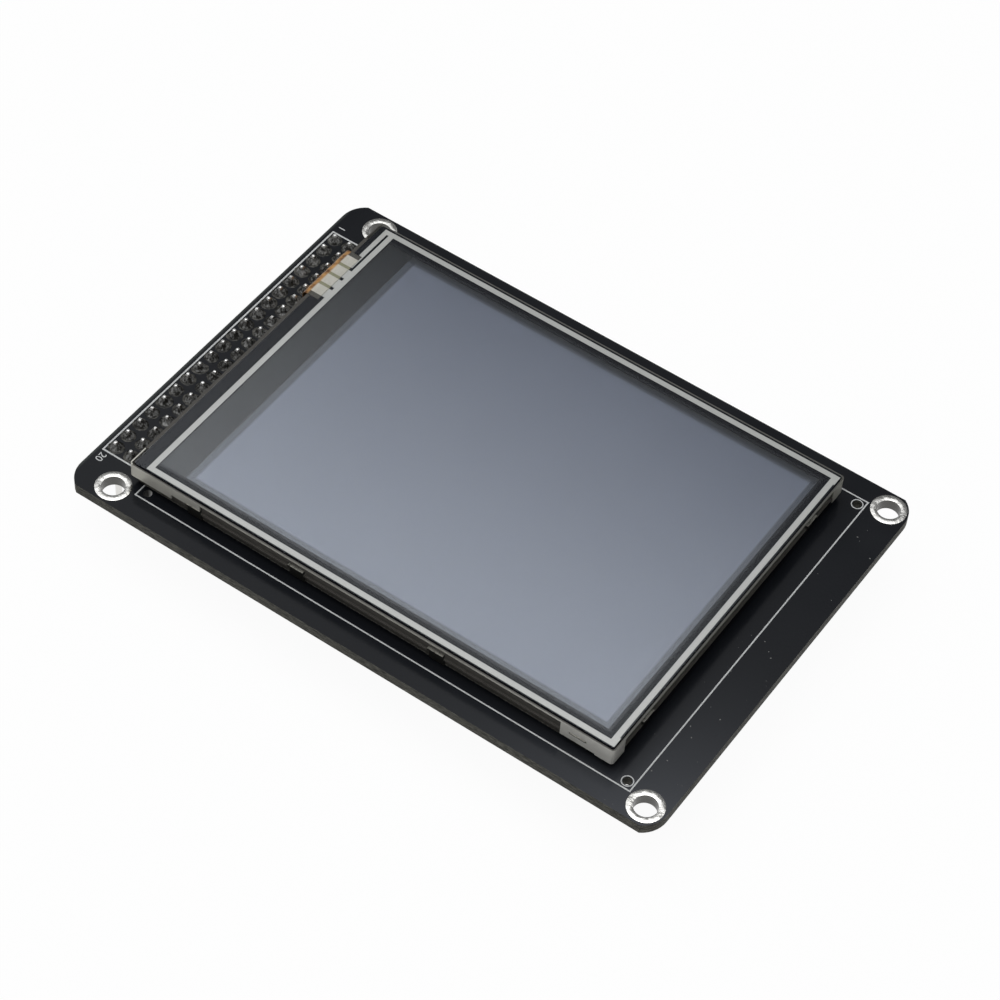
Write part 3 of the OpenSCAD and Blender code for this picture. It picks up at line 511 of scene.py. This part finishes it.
def stroked(name, paths, width, height, material):
    """Grows one piece of the board from paths, as strokes of one width and height."""
    points, edges = polylines(paths)
    grow(name, flat_lines, points, edges,
         {"Width": width, "Height": height, "Material": material})


def across_board(start, end, half_height):
    """A printed rectangle between two distances from the board's header end, as tall on both sides."""
    return rectangle(board_low.x + start, -half_height, board_low.x + end, half_height, print_z, LINE)


LINE = 0.24 * MM
INK = 0.015 * MM
RING_RADIUS = 0.78 * MM
ink = ink_finish()
flat_lines = ribbon_tree()
print_z = TOP + INK / 2
ringed = [(x, y) for x in hole_x for y in hole_y if (x, y) != PLATED_HOLE]
header_print = across_board(start=0.84 * MM, end=5.85 * MM, half_height=25.37 * MM)
display_print = across_board(start=9.14 * MM, end=86.85 * MM, half_height=28.86 * MM)
hole_print = [ring(x, y, print_z, RING_RADIUS) for x, y in ringed]
stroked("header_outline", header_print, 1.05 * LINE, INK, ink)
stroked("display_outline", display_print, 0.85 * LINE, INK, ink)
stroked("hole_rings", hole_print, 0.6 * LINE, INK, ink)


# %% [markdown]
# The pin numbers at the ends of the header are plain numerals. A text object is turned into a mesh first,
# and only then turned and moved, so that the piece itself stays at the origin.

# %% Pin numbers
def numeral(name, text, height, x, y):
    letters = bpy.data.curves.new(name, "FONT")
    letters.body = text
    letters.size = height
    letters.extrude = INK / 2
    letters.align_x = "CENTER"
    letters.align_y = "CENTER"
    holder = bpy.data.objects.new(name + "_text", letters)
    bpy.context.scene.collection.objects.link(holder)
    evaluated = holder.evaluated_get(bpy.context.evaluated_depsgraph_get())
    mesh = bpy.data.meshes.new_from_object(evaluated)
    bpy.data.objects.remove(holder)
    mesh.transform(Matrix.Translation((x, y, print_z)) @ Matrix.Rotation(-pi / 2, 4, "Z"))
    add_piece(name, mesh, ink)


NUMERAL = 1.5 * MM
NUMERAL_X = board_low.x + 1.4 * MM
NUMERAL_Y = 26.6 * MM
numeral("pin_number_first", "1", NUMERAL, NUMERAL_X, NUMERAL_Y)
numeral("pin_number_last", "20", NUMERAL, NUMERAL_X, -NUMERAL_Y)
print("numerals", round(NUMERAL / MM, 2), "mm high")


# %% [markdown]
# ## Mounting holes
# Each hole is plated through and has a tinned ring on both faces. Hot tin settles into a soft, slightly
# rippled dome, so the finish is a bright metal with broad shallow bumps.

# %% Tin finish
def tin_finish(name, colour, roughness, ripple, depth, wall=1.0):
    """A tinned surface. The factor wall darkens its upright walls as painted shade, as in the barrel of a
    plated hole.
    """
    f = Finish(name)
    lumps = f.grain(ripple, detail=2)
    fine = f.grain(ripple / 6, detail=2)
    bright = f.blend(fine, tuple(0.80 * c for c in colour), colour)
    shaded_wall = tuple(wall * c for c in colour)
    return f.done(f.principled({
        "Base Color": f.blend(abs(f.facing_up()) < 0.25, bright, shaded_wall), "Metallic": 1.0,
        "Roughness": f.ramp(lumps, 0.3, 0.7, roughness * 0.8, roughness * 1.3),
        "Normal": f.bumps(lumps * 0.8 + fine * 0.2, depth),
    }))


# painted shade: the mounting holes' barrel walls are darkened to 0.12 of the tin's colour
tin = tin_finish("bright_tin", (0.84, 0.83, 0.79), 0.22, 0.8, 0.09, wall=0.12)
soften(tin, 0.02, "mounting_rings")


# %% [markdown]
# ## Pin header
# The pins are soldered from the top, so each tip stands in a small hollow cone of solder with dark flux
# burnt round its foot. No two joints are alike. A second Geometry Nodes tree sets one joint on each hole,
# turns and scales it by a fixed seed, and pushes its surface in and out a little.

# %% The node tree that sets one shape on many points
def scatter_tree():
    tree = bpy.data.node_groups.new("set_on_points", "GeometryNodeTree")
    g, given = interface(tree, {"Geometry": "Geometry", "Shape": "Object", "Smallest": "Vector",
                                "Largest": "Vector", "Turn": "Float", "Lumps": "Float",
                                "Lump Size": "Float", "Seed": "Int", "Material": "Material"})
    shape = g.node("GeometryNodeObjectInfo", inputs={"Object": given["Shape"]}, output="Geometry")
    size = g.node("FunctionNodeRandomValue", {"data_type": "FLOAT_VECTOR"},
                  {0: given["Smallest"], 1: given["Largest"], "Seed": given["Seed"]})
    turn = g.node("FunctionNodeRandomValue", {"data_type": "FLOAT"},
                  {3: given["Turn"], "Seed": given["Seed"]}, output=1)
    around = g.node("ShaderNodeCombineXYZ", inputs={"Z": turn})
    many = g.node("GeometryNodeInstanceOnPoints", inputs={
        "Points": given["Geometry"], "Instance": shape, "Rotation": around, "Scale": size})
    whole = g.node("GeometryNodeRealizeInstances", inputs={"Geometry": many})
    wave = g.node("ShaderNodeTexNoise", inputs={"Scale": given["Lump Size"], "Detail": 1.0})
    direction = g.node("GeometryNodeInputNormal")
    push = g.node("ShaderNodeVectorMath", {"operation": "SCALE"},
                  {0: direction, "Scale": (wave - 0.5) * given["Lumps"]})
    lumpy = g.node("GeometryNodeSetPosition", inputs={"Geometry": whole, "Offset": push})
    close_tree(g, lumpy, given["Material"])
    print("tree", tree.name, "with", len(tree.nodes), "nodes")
    return tree


def turned_shape(name, profile, steps=20):
    """A hidden object turned from a profile of radius and height, in millimetres, for the tree to repeat."""
    shape = bmesh.new()
    rings = []
    for radius, height in profile:
        if radius == 0:
            rings.append([shape.verts.new((0, 0, height * MM))])
        else:
            angles = [2 * pi * i / steps for i in range(steps)]
            rings.append([shape.verts.new((radius * MM * cos(a), radius * MM * sin(a), height * MM))
                          for a in angles])
    for low, high in zip(rings, rings[1:]):
        for i in range(steps):
            corners = [low[i % len(low)], low[(i + 1) % len(low)],
                       high[(i + 1) % len(high)], high[i % len(high)]]
            shape.faces.new(list(dict.fromkeys(corners)))
    bmesh.ops.recalc_face_normals(shape, faces=shape.faces)
    mesh = bpy.data.meshes.new(name)
    shape.to_mesh(mesh)
    shape.free()
    mesh.polygons.foreach_set("use_smooth", [True] * len(mesh.polygons))
    return bpy.data.objects.new(name, mesh)


on_points = scatter_tree()
pin_x = [(pins_low.x + pins_high.x) / 2 + side * PITCH / 2 for side in (-1, 1)]
pin_y = [(i - (ROW_PINS - 1) / 2) * PITCH for i in range(ROW_PINS)]
pin_places = [(x, y, TOP) for x in pin_x for y in pin_y]
print("pins:", len(pin_places))


# %% [markdown]
# A joint is bright tin at the very tip and dark flux lower down, with bare metal showing through in
# streaks. The cone is turned from a profile, which gives its slope and its broad foot. The tree then
# makes forty uneven joints of it.

# %% Solder joints
TIP_FROM = 0.84 * MM  # heights above the board between which flux gives way to the bare tip
TIP_FULL = 0.96 * MM
SOLDER_PROFILE = [(0, -0.05), (0.86, -0.05), (0.86, 0.02), (0.74, 0.12), (0.58, 0.30), (0.46, 0.52),
                  (0.36, 0.72), (0.29, 0.86), (0.28, 0.98), (0.24, 1.10), (0.14, 1.17), (0, 1.19)]


def solder_finish():
    f = Finish("solder_and_flux")
    patches = f.grain(0.8, detail=3)
    streaks = f.grain(0.22, detail=3, stretch=(1, 1, 6))
    tip = f.ramp(f.z, TOP + TIP_FROM, TOP + TIP_FULL)
    bare = f.ramp(streaks * 0.5 + patches * 0.5, 0.46, 0.66, 0.0, 0.42)
    metal = f.node("ShaderNodeMath", {"operation": "MAXIMUM"}, {0: tip, 1: bare})
    return f.done(f.principled({
        "Base Color": f.blend(metal, (0.016, 0.015, 0.013), (0.86, 0.86, 0.84)),
        "Metallic": metal, "Roughness": f.ramp(patches, 0.3, 0.7, 0.28, 0.50),
        "Specular IOR Level": 0.3, "Normal": f.bumps(streaks, 0.03),
    }))


joint_shape = turned_shape("solder_joint_shape", SOLDER_PROFILE)
solder = solder_finish()
joints = grow("solder_joints", on_points, pin_places, [], {
    "Shape": joint_shape, "Smallest": (0.94, 0.94, 0.97), "Largest": (1.06, 1.06, 1.04), "Turn": 2 * pi,
    "Lumps": 0.26 * MM, "Lump Size": 1.4 / MM, "Seed": 4, "Material": solder})
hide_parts("header_solder")


# %% [markdown]
# Flux runs out over the mask when it is heated and dries to a thin brown-black film, glossier than the
# board. It is a low lens round each joint, drawn out unevenly.

# %% Flux rings
def flux_finish():
    f = Finish("dried_flux")
    patches = f.grain(0.6, detail=3)
    return f.done(f.principled({
        "Base Color": f.blend(f.ramp(patches, 0.42, 0.72), (0.007, 0.007, 0.006), (0.095, 0.092, 0.082)),
        "Specular IOR Level": 0.2, "Roughness": f.ramp(patches, 0.3, 0.7, 0.18, 0.40),
        "Normal": f.bumps(patches, 0.03),
    }))


FLUX_PROFILE = [(0, -0.02), (1.14, -0.02), (1.13, 0.004), (0.98, 0.03), (0, 0.06)]
flux_shape = turned_shape("flux_shape", FLUX_PROFILE)
grow("flux_rings", on_points, pin_places, [], {
    "Shape": flux_shape, "Smallest": (0.9, 0.9, 0.7), "Largest": (1.12, 1.12, 1.1), "Turn": 2 * pi,
    "Lumps": 0.10 * MM, "Lump Size": 1.3 / MM, "Seed": 9, "Material": flux_finish()})


# %% [markdown]
# The pins are drawn square wire, tinned from end to end. Drawing leaves fine lines along them. The
# moulding is black glass-filled nylon.

# %% Pins and header moulding
def pin_finish():
    f = Finish("pin_plating")
    drawn = f.grain(0.3, detail=2, stretch=(1, 1, 8))
    return f.done(f.principled({
        "Base Color": f.blend(drawn, (0.66, 0.65, 0.62), (0.84, 0.83, 0.80)), "Metallic": 1.0,
        "Roughness": f.ramp(drawn, 0.3, 0.7, 0.20, 0.34), "Normal": f.bumps(drawn, 0.006),
    }))


def moulding_finish(name, dark, light, grain_size, roughness, depth, shine=0.5):
    f = Finish(name)
    cloud = f.grain(grain_size * 12, detail=2)
    fine = f.grain(grain_size, detail=3)
    return f.done(f.principled({
        "Base Color": f.blend(cloud * 0.6 + fine * 0.4, dark, light), "Specular IOR Level": shine,
        "Roughness": f.ramp(fine, 0.3, 0.7, roughness * 0.85, roughness * 1.15),
        "Normal": f.bumps(fine, depth),
    }))


keep(pin_finish(), "header_pins")
soften(moulding_finish("black_nylon", (0.009, 0.009, 0.010), (0.020, 0.020, 0.021), 0.18, 0.45, 0.012),
       0.06, "header_body")


# %% [markdown]
# ## Display: frame and housing
# The frame is satin stainless steel, rolled along the display and wiped clean, so its grain runs
# lengthwise. Its top faces are darker, except at the near corner of the header's end, and a painted
# highlight makes the wall lighter towards the near corner. Long noise makes the grain, because a flat grey
# looks like paint and not like sheet.

# %% Steel frame
def steel_finish(name, dark, light, roughness, stretch, metallic=1.0, bare_edge=None):
    """Rolled sheet. With bare_edge, top faces are darker, except at a lower x than that on the near side, and
    a painted highlight lightens the wall towards the near corner.
    """
    f = Finish(name)
    rolled = f.grain(0.12, detail=3, stretch=stretch)
    cloud = f.grain(4, detail=2)
    sheet = f.blend(rolled * 0.5 + cloud * 0.5, dark, light)
    if bare_edge is not None:
        # painted highlight: the wall is painted lighter towards the near corner
        painted_highlight = f.ramp(f.x, 10 * MM, frame_high.x) * f.ramp(f.y, -20 * MM, frame_low.y)
        sheet = f.blend(painted_highlight * 0.6, sheet, (0.86, 0.85, 0.80))
        # the top faces are darker, except at the near corner of the header's end
        dark_top_faces = (f.facing_up() > 0.35) * (1 - (f.x < bare_edge) * (f.y < 0))
        sheet = f.blend(dark_top_faces, sheet, tuple(0.24 * c for c in dark))
    return f.done(f.principled({
        "Base Color": sheet, "Metallic": metallic,
        "Roughness": f.ramp(rolled, 0.3, 0.7, roughness * 0.8, roughness * 1.2),
        "Normal": f.bumps(rolled, 0.004),
    }))


frame_steel = steel_finish("frame_steel", (0.43, 0.42, 0.375), (0.57, 0.56, 0.50), 0.46, (14, 14, 1),
                           metallic=0.55, bare_edge=frame_low.x + 0.5 * MM)
soften(frame_steel, 0.04, "metal_frame")


# %% [markdown]
# Behind the frame lie the back plate, whose hooks snap through the frame's windows, and the moulded
# housing, dark grey and slightly glossy from the tool. The plate is painted near black as painted shade,
# and its hooks get a painted highlight where they face up, so the plate's finish is chosen by direction,
# like the board's.

# %% Back plate and housing
def plate_finish():
    """The back plate: sheet painted near black as painted shade, with a painted highlight where its hooks
    face up.
    """
    f = Finish("plate_painted_shade_and_highlight")
    wear = f.grain(0.4, detail=3)
    # painted shade and highlight: the plate is painted near black for its shade, and bright where its hooks
    # face up
    painted_highlight = f.ramp(f.facing_up(), 0.5, 0.9) * f.ramp(wear, 0.25, 0.5)
    return f.done(f.principled({
        "Base Color": f.blend(painted_highlight, (0.020, 0.019, 0.016), (0.42, 0.41, 0.36)), "Metallic": 0.6,
        "Roughness": 0.42, "Normal": f.bumps(wear, 0.006),
    }))


soften(plate_finish(), 0.04, "back_plate")
housing = moulding_finish("housing_moulding", (0.036, 0.033, 0.028), (0.064, 0.059, 0.050), 0.2, 0.42, 0.010)
soften(housing, 0.04, "backlight_housing")


# %% [markdown]
# ## Touch panel and screen
# What makes the screen grey when it is off is a stack of clear faces: film, air gap, glass, polariser.
# Each clear face reflects about a twentieth of the light, so the window is much brighter than the border,
# where dark glue fills the gap and only the top face is left. The clear sheets are a mix of a transparent
# and a glossy shader, by the share that a face reflects at each angle.

# %% Clear sheets
BAR = 0.8 * MM  # width of a printed silver bar
LEAD_ROOM = 1.03 * MM  # how far the silver's leads reach beyond the bar at the header's end
TAB_ROOM = 0.18 * MM  # how far its tabs reach beyond the bar at the other end
GLUE = 0.70 * MM  # width of the dark glue inside the bars
window_low = silver_low + Vector((LEAD_ROOM + BAR, BAR + GLUE, 0))
window_high = silver_high - Vector((TAB_ROOM + BAR + GLUE, BAR + GLUE, 0))


def clear_finish(name, reflection, roughness, top):
    """A clear sheet. A face at the height top reflects everywhere, the others only over the window."""
    f = Finish(name)
    smear = f.grain(18, detail=2)
    facing = f.node("ShaderNodeLayerWeight", inputs={"Blend": 0.5}, output="Facing")
    fresnel = reflection + (1 - reflection) * facing ** 5
    window = f.inside(window_low, window_high, 0.25 * MM)
    outer_face = f.z > top - 0.02 * MM
    share = fresnel * f.node("ShaderNodeMath", {"operation": "MAXIMUM"}, {0: window, 1: outer_face})
    polish = f.ramp(smear, 0.3, 0.7, roughness * 0.8, roughness * 1.2)
    gloss = f.node("ShaderNodeBsdfAnisotropic", inputs={"Color": (0.94, 0.97, 1.0, 1), "Roughness": polish})
    clear = f.node("ShaderNodeBsdfTransparent", inputs={"Color": (0.985, 0.99, 0.99, 1)})
    return f.done(f.node("ShaderNodeMixShader", inputs={0: share, 1: clear, 2: gloss}))


ONE_FACE = 0.045  # the share of light that one clear face reflects, seen straight on
ABOVE_ALL = panel_high.z + 1 * MM
keep(clear_finish("clear_film", ONE_FACE, roughness=0.10, top=panel_high.z), "touch_film")
keep(clear_finish("touch_glass", ONE_FACE, roughness=0.06, top=ABOVE_ALL), "touch_glass")


# %% [markdown]
# Under the clear film lie the printed silver bars and the dark glue. Silver ink is pressed through a fine
# screen, which leaves a faint even grain, so its bumps are small and shallow. Both layers are drawn in by
# two thousandths of a millimetre, because faces that lie in one plane with the film's would flicker
# through it.

# %% Silver and glue
def silver_finish():
    f = Finish("silver_ink")
    screen_mesh = f.grain(0.22, detail=2)
    broad = f.grain(5, detail=2)
    return f.done(f.principled({
        "Base Color": f.blend(screen_mesh * 0.4 + broad * 0.6, (0.475, 0.47, 0.445), (0.585, 0.58, 0.555)),
        "Roughness": 0.3, "Metallic": 0.4, "Normal": f.bumps(screen_mesh, 0.004),
    }))


silver = silver_finish()
black_glue = moulding_finish("black_glue", (0.004, 0.004, 0.006), (0.007, 0.008, 0.011), 0.4, 0.6, 0.004,
                             shine=0.0)
soften(silver, 0.005, "touch_silver", draw_in=0.002)
soften(black_glue, 0.005, "touch_adhesive", draw_in=0.002)
keep(black_glue, "touch_tape_ring", "rim_tape_ring")


# %% [markdown]
# The display's own face is one sheet with three zones: a picture area, a soft bluish edge where the
# cell's mask ends, and a black border. Along the far edge a band is painted matt: painted light that makes
# up for the reflection that the glue above hides there. The zones are soft rectangles in the finish,
# because on the real cell they are layers of film and not steps.

# %% The display's face
face_low, face_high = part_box("front_polariser")


def zone(low_x, low_y, high_x, high_y):
    """The corners of a zone of the face, by its margins from the face's edges in millimetres."""
    return face_low + Vector((low_x, low_y, 0)) * MM, face_high - Vector((high_x, high_y, 0)) * MM


PICTURE = zone(1.35, 2.14, 1.80, 0.18)
MASK = zone(0.15, 1.07, 1.00, -0.32)
LIGHT_BAND_FROM = face_high.y - 1.58 * MM
LIGHT_BAND_FULL = face_high.y - 0.78 * MM


def screen_finish():
    f = Finish("screen_face")
    picture = f.inside(*PICTURE, 0.3 * MM)
    mask = f.inside(*MASK, 0.2 * MM)
    mottle = f.grain(1.1, detail=3) * 0.3 + f.grain(16, detail=2) * 0.7
    lit = f.blend(mottle, (0.194, 0.214, 0.288), (0.223, 0.245, 0.326))
    border = f.blend(mask, (0.010, 0.012, 0.022), (0.062, 0.070, 0.098))
    # painted light: a matt band along the far edge makes up for the reflection that the glue hides there
    painted_light_band = f.ramp(f.y, LIGHT_BAND_FROM, LIGHT_BAND_FULL) * mask
    face = f.blend(painted_light_band, f.blend(picture, border, lit), (0.058, 0.065, 0.082))
    return f.done(f.principled({"Base Color": face, "Metallic": 0.85 * (1 - painted_light_band), "Roughness": 0.30}))


keep(screen_finish(), "front_polariser", "rear_polariser")


# %% [markdown]
# ## The touch panel's tail
# Amber film carries four tinned conductors over the frame and down to the board. Outside the panel a
# second film covers them, so the bend is amber throughout. On the panel itself the conductors lie bare,
# the film between them is a light olive, and its two margins are dark. Film and conductors share one
# finish with two sets of colours, because the cover ends at the same place on both.

# %% Tail film and conductors
COVER_END = panel_low.x - 0.55 * MM  # where the cover film stops, short of the panel's edge
leads_low, leads_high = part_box("touch_flex_conductors")


def tail_finish(name, bare_dark, bare_light, metallic):
    """The tail's film or its conductors: amber under the cover, their own colours past its end."""
    f = Finish(name)
    wear = f.grain(0.5, detail=3)
    side = (f.y < leads_low.y - 0.01 * MM) + (f.y > leads_high.y + 0.01 * MM)
    amber = f.blend(f.ramp(f.grain(0.8, detail=3), 0.35, 0.65), (0.13, 0.052, 0.014), (0.46, 0.25, 0.085))
    bare = f.ramp(f.x, COVER_END - 0.05 * MM, COVER_END + 0.15 * MM)
    uncovered = f.blend(side, f.blend(wear, bare_dark, bare_light), (0.05, 0.046, 0.036))
    return f.done(f.principled({
        "Base Color": f.blend(bare, amber, uncovered),
        "Metallic": bare * metallic, "Roughness": 0.36, "Normal": f.bumps(wear, 0.008),
    }))


def cable_finish(name, dark, light):
    f = Finish(name)
    return f.done(f.principled({"Base Color": f.blend(f.grain(2.5), dark, light), "Roughness": 0.3,
                                "Normal": f.bumps(f.grain(0.5), 0.008)}))


keep(tail_finish("tail_film", (0.170, 0.165, 0.095), (0.300, 0.290, 0.180), 0.0), "touch_flex")
keep(tail_finish("tail_conductors", (0.47, 0.45, 0.38), (0.64, 0.61, 0.55), 0.4), "touch_flex_conductors")
keep(cable_finish("display_cable", (0.024, 0.018, 0.012), (0.050, 0.038, 0.024)), "display_flex")
keep(cable_finish("diode_strip", (0.60, 0.60, 0.56), (0.72, 0.72, 0.68)), "led_strip")


# %% [markdown]
# ## The back of the board
# The underside carries the card socket, the chips and the passives. Rolled steel, moulding compound,
# fired ceramic and tin are told apart by gloss and grain more than by colour, so three of the finishes
# above serve them all, each time with other numbers.

# %% Socket, chips and passives
shell_steel = steel_finish("shell_steel", (0.56, 0.56, 0.55), (0.72, 0.72, 0.70), 0.26, (1, 16, 1))
soften(shell_steel, 0.04, "card_socket_shell")
socket_black = moulding_finish("socket_moulding", (0.010, 0.010, 0.011), (0.020, 0.020, 0.022),
                               0.2, 0.5, 0.010)
soften(socket_black, 0.05, "card_socket_base")
chip_resin = moulding_finish("chip_resin", (0.016, 0.017, 0.018), (0.034, 0.035, 0.037), 0.09, 0.55, 0.010)
soften(chip_resin, 0.05, "touch_controller", "voltage_regulator", "backlight_transistor", "driver_chip")
ceramic = moulding_finish("fired_ceramic", (0.26, 0.17, 0.10), (0.38, 0.27, 0.17), 0.3, 0.45, 0.008)
soften(ceramic, 0.06, "capacitors")
glaze = moulding_finish("resistor_glaze", (0.010, 0.010, 0.012), (0.022, 0.022, 0.026), 0.3, 0.25, 0.006)
soften(glaze, 0.03, "resistors")
lead_tin = tin_finish("lead_tin", (0.66, 0.66, 0.64), 0.30, 0.4, 0.008)
soften(lead_tin, 0.02, "touch_controller_leads", "regulator_leads", "transistor_leads")
soften(lead_tin, 0.02, "capacitor_ends", "resistor_ends")
keep(lead_tin, "flex_contacts")
spring_gold = steel_finish("spring_gold", (0.64, 0.46, 0.19), (0.80, 0.60, 0.28), 0.26, (10, 1, 1))
soften(spring_gold, 0.02, "card_socket_contacts")


# %% [markdown]
# Under black mask the copper still shows, as faint raised lines that run from pin to pin and end in small
# round holes that the mask covers. Each bundle leaves a row of pads, turns at forty-five degrees to close
# its lines up, and ends in staggered holes. Tracks start at real pads, so the places of a node's separate
# solids are measured from its mesh first.

# %% Places of separate solids, and bundles of tracks
TRACK = 0.26 * MM
TRACK_PITCH = 0.65 * MM
TRACK_HEIGHT = 0.030 * MM
TRACK_Z = -0.010 * MM  # the middle of a track, a sixth of which is sunk in the board
LEAD_OUT = 0.9 * MM  # how far a track runs straight before it turns
STAGGER = 1.1 * MM  # how much further out each of three neighbouring holes lies


def loose_boxes(node):
    """The low and high corners of a node's separate solids, in order of place."""
    shape = bmesh.new()
    shape.from_mesh(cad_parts[node].data)
    bmesh.ops.remove_doubles(shape, verts=shape.verts, dist=1e-6)
    waiting, boxes = set(shape.verts), []
    while waiting:
        joined = [waiting.pop()]
        for corner in joined:
            near = {edge.other_vert(corner) for edge in corner.link_edges} & waiting
            waiting -= near
            joined += near
        boxes.append([tuple(pick(v.co[i] for v in joined) for i in range(3)) for pick in (min, max)])
    shape.free()
    return sorted(boxes)


def bundle(starts, middle, reach):
    """Tracks from a column of pads that close up about a middle line, and the places of their end holes."""
    paths, ends = [], []
    for i, (x, y) in enumerate(starts):
        level = middle + (i - (len(starts) - 1) / 2) * TRACK_PITCH
        turn = x + LEAD_OUT + abs(y - level)
        end = reach + (i % 3) * STAGGER
        corners = ((x, y), (x + LEAD_OUT, y), (turn, level), (end, level))
        paths.append([(*corner, TRACK_Z) for corner in corners])
        ends.append((end, level, 0))
    return paths, ends


contact_boxes = loose_boxes("card_socket_contacts")
print("contacts:", len(contact_boxes))


# %% [markdown]
# The two trees from above draw the copper: one gives the tracks their flat section, the other sets a
# covered hole at each end. Four bundles start at the header's inner row, and single tracks at the card
# contacts.

# %% Tracks and covered holes under the mask
inner_row = [(pin_x[1], y) for y in pin_y]
# First pin, pin after the last, middle line and reach of each bundle, the last two in millimetres
BUNDLES = ((0, 7, -24.2, 2), (7, 10, -3.9, -18), (10, 15, 6.0, -26.4), (15, 20, 25.0, -12))
CONTACT_RUN = 2.2 * MM  # the shortest track at a card contact
UNDER_CONTACT = 0.3 * MM  # how far a track reaches under its contact
bundles = [bundle(inner_row[first:last], middle * MM, reach * MM) for first, last, middle, reach in BUNDLES]
tracks = [path for paths, ends in bundles for path in paths]
holes = [end for paths, ends in bundles for end in ends]
for i, (low, high) in enumerate(contact_boxes):
    y = (low[1] + high[1]) / 2
    end = low[0] - CONTACT_RUN - (i % 3) * STAGGER
    tracks.append([(low[0] + UNDER_CONTACT, y, TRACK_Z), (end, y, TRACK_Z)])
    holes.append((end, y, 0))

masked_copper = moulding_finish("masked_copper", (0.016, 0.018, 0.021), (0.024, 0.026, 0.030),
                                0.5, 0.22, 0.003)
stroked("masked_tracks", tracks, TRACK, TRACK_HEIGHT, masked_copper)
COVERED_HOLE_PROFILE = [(0, 0.01), (0.34, 0.01), (0.34, -0.02), (0.30, -0.034),
                        (0.20, -0.034), (0.13, -0.012), (0, -0.006)]
hole_shape = turned_shape("covered_hole_shape", COVERED_HOLE_PROFILE, steps=14)
grow("covered_holes", on_points, holes, [], {
    "Shape": hole_shape, "Smallest": (0.96, 0.96, 1), "Largest": (1.04, 1.04, 1), "Turn": pi,
    "Lumps": 0.0, "Lump Size": 1 / MM, "Seed": 3, "Material": masked_copper})


# %% [markdown]
# White outlines show the assembler where each part goes. Small parts have a full box; a part with leads
# has a stroke on each side that is free of them. Each outline follows the box of its own part, at a small
# gap.

# %% Outlines of the parts on the back
OUTLINE = 0.18 * MM
BACK_PRINT_Z = -INK / 2


def around(low, high, gap):
    """A full outline, at a gap from a part."""
    return rectangle(low[0] - gap, low[1] - gap, high[0] + gap, high[1] + gap, BACK_PRINT_Z, OUTLINE)


def beside(low, high, gap):
    """Two strokes, at a gap on either side of a part."""
    return [[(x, low[1], BACK_PRINT_Z), (x, high[1], BACK_PRINT_Z)] for x in (low[0] - gap, high[0] + gap)]


outlines = []
for node in ("capacitors", "resistors"):
    for low, high in loose_boxes(node):
        outlines += around(low, high, 0.4 * MM)
for node in ("touch_controller", "voltage_regulator", "backlight_transistor"):
    low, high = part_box(node)
    outlines += beside(low, high, 0.45 * MM)
outlines += around(*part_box("header_body"), 0.3 * MM)
outlines += around(*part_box("card_socket_shell"), 0.5 * MM)
stroked("part_outlines", outlines, OUTLINE, INK, ink)


# %% [markdown]
# The sheets inside the backlight are closed in, but the part is exported whole, so they have finishes
# too: white foam, a white mirror sheet, pale guides and the yellow phosphor of the diodes. They are plain
# smooth sheets, so the moulding finish with a broad and shallow grain is enough.

# %% Inner pieces
def sheet_finish(name, dark, light, roughness):
    return moulding_finish(name, dark, light, 0.5, roughness, 0.004)


keep(sheet_finish("white_foam", (0.60, 0.58, 0.52), (0.74, 0.72, 0.66), 0.9), "foam_tape")
keep(sheet_finish("optical_sheet", (0.76, 0.78, 0.78), (0.84, 0.86, 0.86), 0.3),
     "reflector_sheet", "light_guide", "diffuser_sheet", "lower_prism_sheet", "upper_prism_sheet")
keep(sheet_finish("cell_glass", (0.112, 0.115, 0.128), (0.150, 0.152, 0.170), 0.08),
     "lcd_lower_glass", "lcd_upper_glass")
keep(sheet_finish("diode_phosphor", (0.70, 0.58, 0.18), (0.84, 0.74, 0.34), 0.4), "leds")
